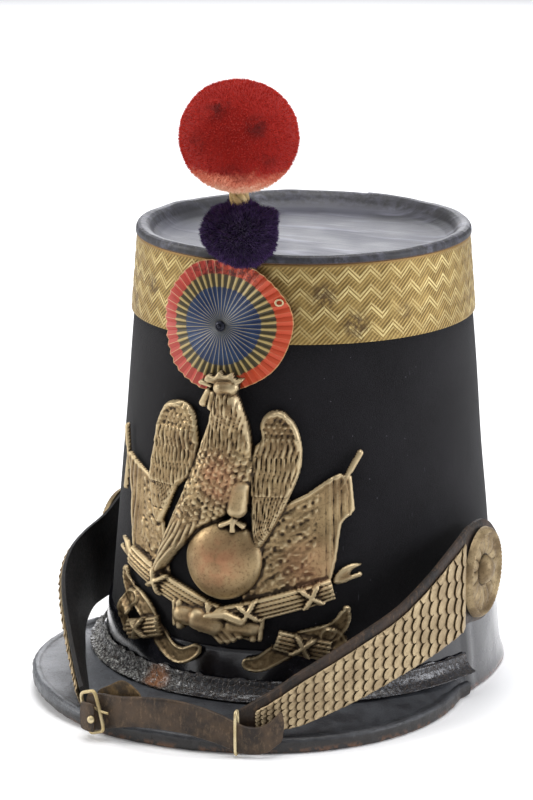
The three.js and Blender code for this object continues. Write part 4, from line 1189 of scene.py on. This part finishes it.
def redWool():
    finish = woolFinish("red")
    broad = finish.noise(7, 5, 0.7)
    for place, radius, share in pompoms["red"]["stains"]:
        stain = finish.times(finish.near(place, radius, 0.2), finish.spread(broad, 0.4, 0.58, 0.0, share))
        finish.coat(stain, tone(92, 24, 22))
    z = finish.axes()[2]
    line = finish.maths("ADD", z, finish.times(finish.maths("SUBTRACT", broad, 0.5), 16 * mm))
    finish.coat(finish.spread(line, 246 * mm, 240 * mm), tone(214, 128, 100))
    finish.coat(finish.spread(line, 241 * mm, 234 * mm), tone(236, 196, 168))
    return finish.paint().material


def purpleWool():
    finish = woolFinish("purple")
    broad = finish.noise(6, 4, 0.6)
    finish.coat(finish.spread(broad, 0.45, 0.7, 0.0, 0.6), tone(28, 15, 44))
    return finish.paint().material


# chin strap: rows of the inner face from the boss end down, as x, y, high, leanX, leanY, low
strap = {"leather": 3.2, "endRadius": 24.0, "scaleRows": 25, "scallops": 5, "scaleSheet": 0.45,
         "scales": {"left": (0.3, 0.985, 2.0), "right": (0.3, 0.9, 4.5)}}  # from, to, bare upper edge
leftRows = [(-89.3, 31, 72, 0, 0, 26), (-90.2, 14, 72, 0, 0, 25), (-91.2, -2, 67, 0, 0, 22),
            (-92.5, -17, 60.5, 0.4, 0.6, 20.6),
            (-94.2, -33, 56.6, 2.6, 3, 20), (-92.4, -50, 53.5, 5.4, 4.6, 19.4), (-87.2, -66.5, 49, 6.6, 6, 18.6),
            (-78.4, -83.6, 43.9, 6.2, 7, 18), (-69, -98.4, 37.5, 4.4, 7.4, 16.4), (-59, -113, 31, 3.2, 7, 14),
            (-51, -123.6, 24, 2.8, 5, 11.6), (-44.8, -131, 18.3, 2, 2.4, 9.2)]
rightRows = [(90.6, 11, 77.6, 0, 0, 30), (90.4, -3, 78.4, 0, 0, 31.4), (90.2, -16, 79.6, 0, 0, 33.2),
             (91, -30, 79.8, 0, 0, 35.4),
             (92.2, -44.6, 77.6, 0, 0, 34.8), (87.4, -63.6, 66.8, 0, 0, 30.4), (80.6, -80, 56.8, 0, 0, 26),
             (71.8, -95.6, 49.4, 0, 0, 20.6),
             (62, -108.2, 42, 0, 0, 15.6), (51.4, -118.2, 34.4, 0, 0, 11), (42.6, -125.6, 27.4, 0, 0, 10),
             (35.4, -130.4, 22.4, 0, 0, 11.6),
             (30.4, -133.2, 19, 0, 0, 12.2)]
tieRows = [(-38.6, 2.2, 1.8, 18.4), (-30, 2.2, 4, 20.4), (-20, 2.2, 7, 21.2), (-10, 2.2, 8.8, 22.6),
           (0, 2.2, 9.4, 23.4), (10, 2.2, 9, 23),
           (18, 2.2, 7.4, 21.4), (26, 2.2, 5.2, 18.8), (33, 2.3, 2.4, 15.4), (39, 2.6, 1.4, 13.6),
           (44.5, 2.4, 2.4, 15.2), (50, 0.8, 7, 21)]
tongueRows = [(-36, -1.4, 11, 19), (-28, -1.2, 11, 23.5), (-21, -1.2, 11.4, 27), (-14, -1.4, 12, 24),
              (-11, -1.4, 14, 20.6)]
narrowStraps = {
    "tie": {"thickness": 1.8, "along": 140, "puff": 0.7, "wave": 0.3, "seed": 61, "ends": 1.5},
    "tongue": {"thickness": 1.5, "along": 40, "puff": 0.7, "wave": 0.3, "seed": 63, "ends": 3.5},
    "fold": {"thickness": 1.5, "along": 30, "puff": 0.5, "wave": 0.2, "seed": 65, "ends": 0.8},
}
foldRows = [(-38.6, 7.2, 4.4, 16.6), (-34.6, 7.6, 4, 16.8), (-31, 7.2, 4.2, 16.4)]


def splineAt(points, share):
    spot = np.clip(share, 0, 1) * (len(points) - 1)
    index = np.minimum(spot.astype(int), len(points) - 2)
    t = (spot - index)[:, None]
    long = np.vstack((2 * points[0] - points[1], points, 2 * points[-1] - points[-2]))
    a, b, c, d = long[index], long[index + 1], long[index + 2], long[index + 3]
    return 0.5 * (2 * b + (c - a) * t + (2 * a - 5 * b + 4 * c - d) * t ** 2 + (3 * b - a - 3 * c + d) * t ** 3)


def courseOf(rows):
    # a strap's upper and lower edge at a share of the way along it
    table = np.array(rows, float)
    upper = table[:, :3]
    lower = np.column_stack((table[:, 0] + table[:, 3], table[:, 1] + table[:, 4], table[:, 5]))
    return lambda share: (splineAt(upper, share), splineAt(lower, share))


def aheadOfVisor(rows):
    return courseOf([(x, outsideVisor(x, outside), high, 0, 0, low) for x, outside, low, high in rows])


def onStrap(course, along, across, lift):
    # across runs from the lower edge at 0 to the upper edge at 1, lift goes away from the head
    high, low = course(along)
    nextHigh, nextLow = course(np.minimum(along + 0.004, 1))
    lastHigh, lastLow = course(np.maximum(along - 0.004, 0))
    share = np.asarray(across)[:, None]
    point = low * (1 - share) + high * share
    run = (nextLow * (1 - share) + nextHigh * share) - (lastLow * (1 - share) + lastHigh * share)
    outwards = np.cross(run, high - low)
    outwards /= np.linalg.norm(outwards, axis=1)[:, None]
    sign = np.sign(outwards[:, 0] * point[:, 0] + outwards[:, 1] * (point[:, 1] + 20))
    point = point + outwards * (sign * lift)[:, None]
    return point[:, 0], point[:, 1], point[:, 2]


def strapLength(course):
    share = np.linspace(0, 1, 80)
    middle = sum(course(share)) / 2
    return float(np.linalg.norm(np.diff(middle, axis=0), axis=1).sum())


def makeStrapBack(name, course, endRadius=0.0, thickness=strap["leather"], along=150, puff=0.35, wave=0.25,
                  seed=41, ends=0.0):
    # a strap with rounded edges: its section closes on itself
    length = strapLength(course)
    section = np.array([(0, 0.3), (0.5, 0), (1, 0.3), (1.0, 0.75), (0.97, 1), (0.5, 1.06), (0.03, 1), (0, 0.75)])
    sides = 40
    fine = np.linspace(0, len(section), sides + 1)[:-1]
    closed = np.vstack((section, section[:1]))
    sectionAcross = np.interp(fine, range(len(closed)), closed[:, 0])
    sectionLift = np.interp(fine, range(len(closed)), closed[:, 1])

    def place(share, around):
        row = np.rint(around * sides).astype(int) % sides
        across, lift = sectionAcross[row], sectionLift[row]
        distance = share * length
        wide = np.ones(share.shape)
        if endRadius:
            wide = np.sqrt(np.clip(1 - (1 - np.clip(distance / endRadius, 0.004, 1)) ** 2, 0.004, 1))
        if ends:
            fromEnd = np.minimum(distance, length - distance)
            wide = wide * np.sqrt(np.clip(1 - (1 - np.clip(fromEnd / ends, 0.03, 1)) ** 2, 0.03, 1))
        ripple = wave * cloud(distance, across * 30, 13, seed) + 0.12 * cloud(distance, across * 30, 3.4, seed + 1)
        lift = thickness * lift * 0.94 + ripple * (lift > 0.5) * puff
        return onStrap(course, share, 0.5 + (across - 0.5) * wide, lift)

    return smoothShade(closeEnds(closeSeams(gridPiece(name, along, sides, place))), 45)


def makeScales(name, course, start, end, margin):
    # one plate for each row, its free edge in scallops that lap over the row before it
    plates = []
    rows, scallops = strap["scaleRows"], strap["scallops"]
    for index in range(rows):
        startAt = start + (end - start) * index / rows
        pitch = (end - start) / rows
        shift = 0.5 * (index % 2)

        def place(along, across):
            high, low = course(np.full(along.shape, startAt))
            width = np.linalg.norm(high - low, axis=1)
            top = 1 - margin / width
            wave = (across * scallops + shift) % 1
            bulge = np.sqrt(np.clip(1 - (2 * wave - 1) ** 2, 0, 1))
            share = startAt + pitch * (-0.35 + along * (1.15 + 0.45 * bulge))
            dome = 0.75 * bulge ** 0.8 * (0.35 + 0.65 * along) + 0.3 * np.exp(-((along - 0.93) / 0.06) ** 2)
            dome = dome + 0.25 * np.cos(bulge * 9 + along * 7) * 0.4
            edges = np.clip(np.minimum(across, 1 - across) * 30, 0, 1)
            lift = strap["leather"] + 0.3 + (0.25 + 0.9 * along + dome * 0.8) * (0.4 + 0.6 * edges)
            return onStrap(course, np.clip(share, 0, 1), across * top, lift)

        plates.append(gridPiece(f"{name}_row", 12, scallops * 12, place))
    piece = faceAway(joinPieces(name, plates), 0, -20)
    return smoothShade(thicken(piece, strap["scaleSheet"]), 60)


boss = {"radius": 20.6, "knobRadius": 6.6, "petals": 14, "rings": 60, "around": 224, "sheet": 0.6,
        "at": {"left": 0.135, "right": 0.17}}


def makeBoss(name, course, at, knobUp=2.0):
    here = np.array([at])
    foot = np.array(onStrap(course, here, np.array([0.5]), np.array([0.0])))[:, 0]
    ahead = np.array(onStrap(course, here, np.array([0.5]), np.array([1.0])))[:, 0]
    facing = Vector((ahead[0] - foot[0], ahead[1] - foot[1], 0)).normalized()
    sideways = Vector((0, 0, 1)).cross(facing)
    back = strap["leather"] + 1.3

    def place(along, across):
        angle = math.tau * along
        reach = boss["radius"] * across
        rope = 0.35 * np.abs(np.sin(angle * 30 + reach * 1.2))
        rim = 2.1 * np.exp(-((reach - 18.6) / 1.5) ** 2) * (1 + 0.2 * rope)
        rim = rim + rope * np.exp(-((reach - 18.6) / 1.4) ** 2)
        petal = np.abs(np.cos(angle * boss["petals"] / 2))
        rosette = 1.7 * (1 - np.clip(np.abs(reach - 12) / 5.0, 0, 1) ** 2) * (0.25 + 0.75 * petal ** 0.7)
        beads = 0.6 * np.clip(np.sin(angle * 34), 0, 1) * np.exp(-((reach - 16.0) / 0.7) ** 2)
        knob = 5.4 * np.sqrt(np.clip(1 - (reach / boss["knobRadius"]) ** 2, 0, 1))
        out = 0.9 + rim + rosette + beads + knob + 0.3 * np.exp(-((reach - 7.4) / 0.5) ** 2)
        out = np.where(across > 0.995, 0.0, out)
        right, up = reach * np.cos(angle), reach * np.sin(angle) + knobUp * np.exp(-(reach / 11) ** 2)
        x = foot[0] + facing.x * (back + out) + sideways.x * right
        y = foot[1] + facing.y * (back + out) + sideways.y * right
        return x, y, foot[2] + up

    piece = faceAway(closeSeams(gridPiece(name, boss["around"], boss["rings"], place)))
    return smoothShade(thicken(piece, boss["sheet"]), 50)


# dark, main and light tone, then size of the blotches, roughness and wear
leathers = {
    "strapLeather": (tone(26, 20, 16), tone(56, 42, 32), tone(112, 86, 60), 11, 0.55, 0.5),
    "strapInnerLeather": (tone(12, 10, 10), tone(24, 20, 19), tone(60, 48, 38), 11, 0.6, 0.4),
    "tieLeather": (tone(38, 28, 20), tone(78, 60, 42), tone(128, 104, 76), 10, 0.5, 0.45),
    "tanLeather": (tone(52, 40, 24), tone(104, 82, 50), tone(134, 108, 70), 5, 0.75, 0.5),
}


def leatherFinish(name):
    dark, main, light, size, roughness, worn = leathers[name]
    finish = Finish(name, roughness, Specular_IOR_Level=0.4)
    broad = finish.noise(size, 5, 0.6)
    grain = finish.noise(0.8, 5, 0.7)
    scuff = finish.spread(finish.noise(2.6, 6, 0.8, stretch=(1.3, 1.3, 0.6)), 0.5, 0.66)
    finish.ground(finish.spread(broad, 0.34, 0.66), dark, main)
    finish.coat(finish.times(scuff, worn), light)
    finish.coat(finish.spread(grain, 0.45, 0.3, 0.0, 0.6), dark)
    finish.paint(grain, 0.3, 0.7, roughness - 0.1, roughness + 0.15)
    return finish.bump(grain, 0.22, 0.6).bump(broad, 0.5, 0.4).material


# dark, main and light tone, then roughness, metallic and tarnish
brasses = {
    "paleWire": (tone(110, 90, 56), tone(190, 170, 124), tone(222, 206, 166), 0.45, 0.75, 0.4),
    "darkIron": (tone(14, 14, 20), tone(34, 36, 48), tone(58, 60, 74), 0.4, 0.6, 0.4),
    "woundCord": (tone(84, 58, 30), tone(176, 148, 96), tone(214, 192, 146), 0.6, 0.35, 0.7),
    "scaleBrass": (tone(98, 78, 54), tone(160, 140, 108), tone(188, 168, 132), 0.52, 0.5, 0.5),
    "bossBrass": (tone(46, 34, 22), tone(122, 102, 72), tone(168, 148, 112), 0.5, 0.5, 0.6),
}


def brassFinish(name):
    dark, main, light, roughness, metallic, rust = brasses[name]
    finish = Finish(name, roughness, metallic)
    broad = finish.noise(9, 4)
    fine = finish.noise(1.1, 5, 0.75)
    finish.ground(finish.spread(broad, 0.34, 0.66), main, light)
    finish.coat(finish.spread(fine, 0.54, 0.68, 0.0, rust), dark)
    # painted shade: the dark tone laid into hollows and corners
    shadeInHollows = finish.hollows(2.4)
    finish.coat(finish.spread(shadeInHollows, 0.85, 0.4), dark)
    finish.paint(fine, 0.3, 0.7, roughness - 0.08, roughness + 0.15)
    return finish.bump(fine, 0.1, 0.6).material


def wireLoop(loop):
    # a rounded loop of wire on edge, tilted in its own plane and turned from facing the front
    tilt, turn = math.radians(loop["tilt"]), math.radians(loop["turn"])
    middleX, middleY = loop["x"], outsideVisor(loop["x"], loop["outside"])
    points = []
    for angle in np.linspace(0, math.tau, 48, endpoint=False):
        wide, tall = (half * math.copysign(abs(share) ** loop["corners"], share)
                      for half, share in ((loop["halfWide"], math.cos(angle)), (loop["halfTall"], math.sin(angle))))
        side = wide * math.cos(tilt) + tall * math.sin(tilt)
        up = -wide * math.sin(tilt) + tall * math.cos(tilt)
        points.append((middleX + side * math.cos(turn), middleY + side * math.sin(turn), loop["z"] + up))
    return points


buckle = {"x": -34.0, "outside": 5.6, "z": 12.0, "halfWide": 5.2, "halfTall": 9.0, "corners": 1 / 3, "tilt": -20,
          "turn": -22,
          "wire": 0.8, "pinWire": 0.55, "pin": [(-4.6, 1.8, 14.5), (0, 0.2, 14.2), (5, -2.0, 13.6), (9, -2.4, 13.2)]}
keeper = {"x": 33.0, "outside": 3.25, "z": 11.0, "halfWide": 2.1, "halfTall": 9.6, "corners": 0.5, "tilt": 0,
          "turn": 98,
          "wire": 0.65}
foldRivet = {"x": -32.6, "outside": 9.4, "z": 10.0, "turn": -22,
             "profile": [(0, -0.6), (1.7, -0.6), (1.75, 0.2), (1.3, 0.9), (0.7, 1.25), (0, 1.35)]}


def makeBuckle():
    loop = wirePiece("wire_buckle", wireLoop(buckle), buckle["wire"])
    middleY = outsideVisor(buckle["x"], buckle["outside"])
    prong = [(buckle["x"] + right, middleY + back, high) for right, back, high in buckle["pin"]]
    pin = wirePiece("buckle_pin", prong, buckle["pinWire"], closed=False)
    return smoothShade(joinPieces("wire_buckle", [loop, pin]), 60)


def makeKeeper():
    return smoothShade(wirePiece("wire_keeper", wireLoop(keeper), keeper["wire"]), 60)


def makeFoldRivet():
    place = toFrame(foldRivet["x"], outsideVisor(foldRivet["x"], foldRivet["outside"]), foldRivet["z"])
    turn = math.radians(foldRivet["turn"])
    facing = Vector((math.sin(turn), -math.cos(turn), 0))
    return smoothShade(spinPiece("fold_rivet", foldRivet["profile"], 20, place, facing), 60)


# make every piece
handOver(makeFelt(), feltFinish(), "black_felt", "crown_body")
handOver(makeCrownTop(), crownFinish(), "crown_leather", "crown_top")
handOver(makeGoldLace(), laceFinish(), "gold_lace", "gold_band")
handOver(makeFootBand(), patentFinish(), "patent_leather", "base_band")
print("body, crown and bands made")
handOver(makeVisor(), visorFinish(), "visor_leather", "peak")
handOver(makeWelt(), weltFinish(), "visor_leather", "peak_welt")
print("visor made")
handOver(makePlate(), plateFinish(), "stamped_brass", "plate")
print("plate made")
handOver(makeCockade(), cockadeFinish(), "cockade_paint", "cockade")
rivetHead, ringOnCockade = cockadeTrim()
paleWire = brassFinish("paleWire")
handOver(rivetHead, brassFinish("darkIron"), "dark_iron", "cockade_rivet")
handOver(ringOnCockade, paleWire, "brass_wire", "cockade_eyelet")
handOver(makeStem(), brassFinish("woundCord"), "brass_wire", "pompom_stem")
handOver(makePompom("purple"), purpleWool(), "purple_wool", "pompom_lower")
handOver(makePompom("red"), redWool(), "red_wool", "pompom_upper")
print("cockade and pompoms made")

courses = {"left": courseOf(leftRows), "right": courseOf(rightRows)}
strapSkins = {"left": leatherFinish("strapInnerLeather"), "right": leatherFinish("strapLeather")}
scaleBrass, bossBrass = brassFinish("scaleBrass"), brassFinish("bossBrass")
for side, course in courses.items():
    back = makeStrapBack(f"strap_leather_{side}", course, strap["endRadius"])
    handOver(back, strapSkins[side], "strap_leather", f"strap_back_{side}")
for side, course in courses.items():
    scales = makeScales(f"brass_scales_{side}", course, *strap["scales"][side])
    handOver(scales, scaleBrass, "scale_brass", f"scales_{side}")
for side, course in courses.items():
    handOver(makeBoss(f"brass_boss_{side}", course, boss["at"][side]), bossBrass, "scale_brass", f"boss_{side}")
print("straps, scales and bosses made")

tieBrown = leatherFinish("tieLeather")
tie = makeStrapBack("tie_strap_leather", aheadOfVisor(tieRows), **narrowStraps["tie"])
tongue = makeStrapBack("tongue_leather", aheadOfVisor(tongueRows), **narrowStraps["tongue"])
fold = makeStrapBack("buckle_fold", aheadOfVisor(foldRows), **narrowStraps["fold"])
handOver(tie, tieBrown, "tie_leather", "tie_strap")
handOver(tongue, leatherFinish("tanLeather"), "tan_leather", "strap_tongue")
handOver(fold, tieBrown, "tie_leather", "buckle_loop")
handOver(makeBuckle(), paleWire, "brass_wire", "buckle")
handOver(makeFoldRivet(), paleWire, "brass_wire", "loop_rivet")
handOver(makeKeeper(), paleWire, "brass_wire", "strap_keeper")
print("tie strap and buckle made")

# floor, light and camera
studio = {"floor": 6.0, "azimuth": 24.5, "elevation": 14.34, "distance": 1.7036, "lens": 168.0,
          "aimHigh": 0.1215, "aimLeft": 0.0168, "sensor": 36.0, "fill": 0.32, "backdrop": 1.05,
          "softboxes": [("leftSoftbox", (-1.5, -0.5, 0.8), 12, 0.6, (0, 0, 0.12), (1.0, 0.98, 0.95)),
                        ("rightSoftbox", (1.5, 0.35, 0.55), 12, 0.6, (0, 0, 0.12), (0.92, 0.94, 1.0)),
                        ("topSoftbox", (0.0, 0.1, 2.0), 36, 1.4, (0, 0, 0.12), (1, 1, 1)),
                        ("backSoftbox", (-0.8, 1.8, 0.75), 16, 1.0, (0, 0, 0.2), (0.94, 0.95, 1.0))]}
clearSelection()
bpy.ops.mesh.primitive_plane_add(size=studio["floor"], location=(0, 0, -0.0002))
floor = bpy.context.object
floor.name = "floor"
floorFinish = Finish("paleFloor", 0.8, Specular_IOR_Level=0.1, Emission_Strength=0.1)
floorFinish.shader.inputs["Emission Color"].default_value = (1, 1, 1, 1)
mottle = floorFinish.spread(floorFinish.noise(300, 2), 0.3, 0.7)
floorFinish.ground(mottle, tone(243, 243, 244), tone(247, 247, 248)).paint()
floor.data.materials.append(floorFinish.material)
floor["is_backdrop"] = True

scene = bpy.context.scene
scene.world = scene.world or bpy.data.worlds.new("studioWorld")
scene.world.use_nodes = True
sky = scene.world.node_tree
sky.nodes["Background"].inputs["Color"].default_value = (0.97, 0.98, 1.0, 1)
seen = sky.nodes.new("ShaderNodeLightPath")  # the backdrop is white, the light from it soft and low
glow = sky.nodes.new("ShaderNodeMapRange")
glow.inputs["To Min"].default_value, glow.inputs["To Max"].default_value = studio["fill"], studio["backdrop"]
sky.links.new(seen.outputs["Is Camera Ray"], glow.inputs["Value"])
sky.links.new(glow.outputs["Result"], sky.nodes["Background"].inputs["Strength"])


def addSoftbox(name, place, power, size, aim, tint):
    light = bpy.data.lights.new(name, "AREA")
    light.energy, light.size, light.color = power, size, tint
    box = bpy.data.objects.new(name, light)
    bpy.context.scene.collection.objects.link(box)
    box.location = place
    box.rotation_euler = (Vector(aim) - Vector(place)).to_track_quat("-Z", "Y").to_euler()


for softbox in studio["softboxes"]:
    addSoftbox(*softbox)

camera = bpy.data.objects.new("camera", bpy.data.cameras.new("camera"))
scene.collection.objects.link(camera)
azimuth, elevation = math.radians(studio["azimuth"]), math.radians(studio["elevation"])
level = math.cos(elevation)
backwards = Vector((math.sin(azimuth) * level, -math.cos(azimuth) * level, math.sin(elevation)))
rightwards = Vector((math.cos(azimuth), math.sin(azimuth), 0))
aim = Vector((axisX, axisY, studio["aimHigh"]))
camera.location = aim + backwards * studio["distance"]
looking = (aim - rightwards * studio["aimLeft"]) - camera.location
camera.rotation_euler = looking.to_track_quat("-Z", "Y").to_euler()
camera.data.sensor_width = studio["sensor"]
camera.data.lens = studio["lens"]
camera.data.clip_end = 20
scene.camera = camera
scene.view_settings.view_transform = "Standard"
print("studio made")

{"cad": cadBounds, "made": [list(corner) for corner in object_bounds()]}
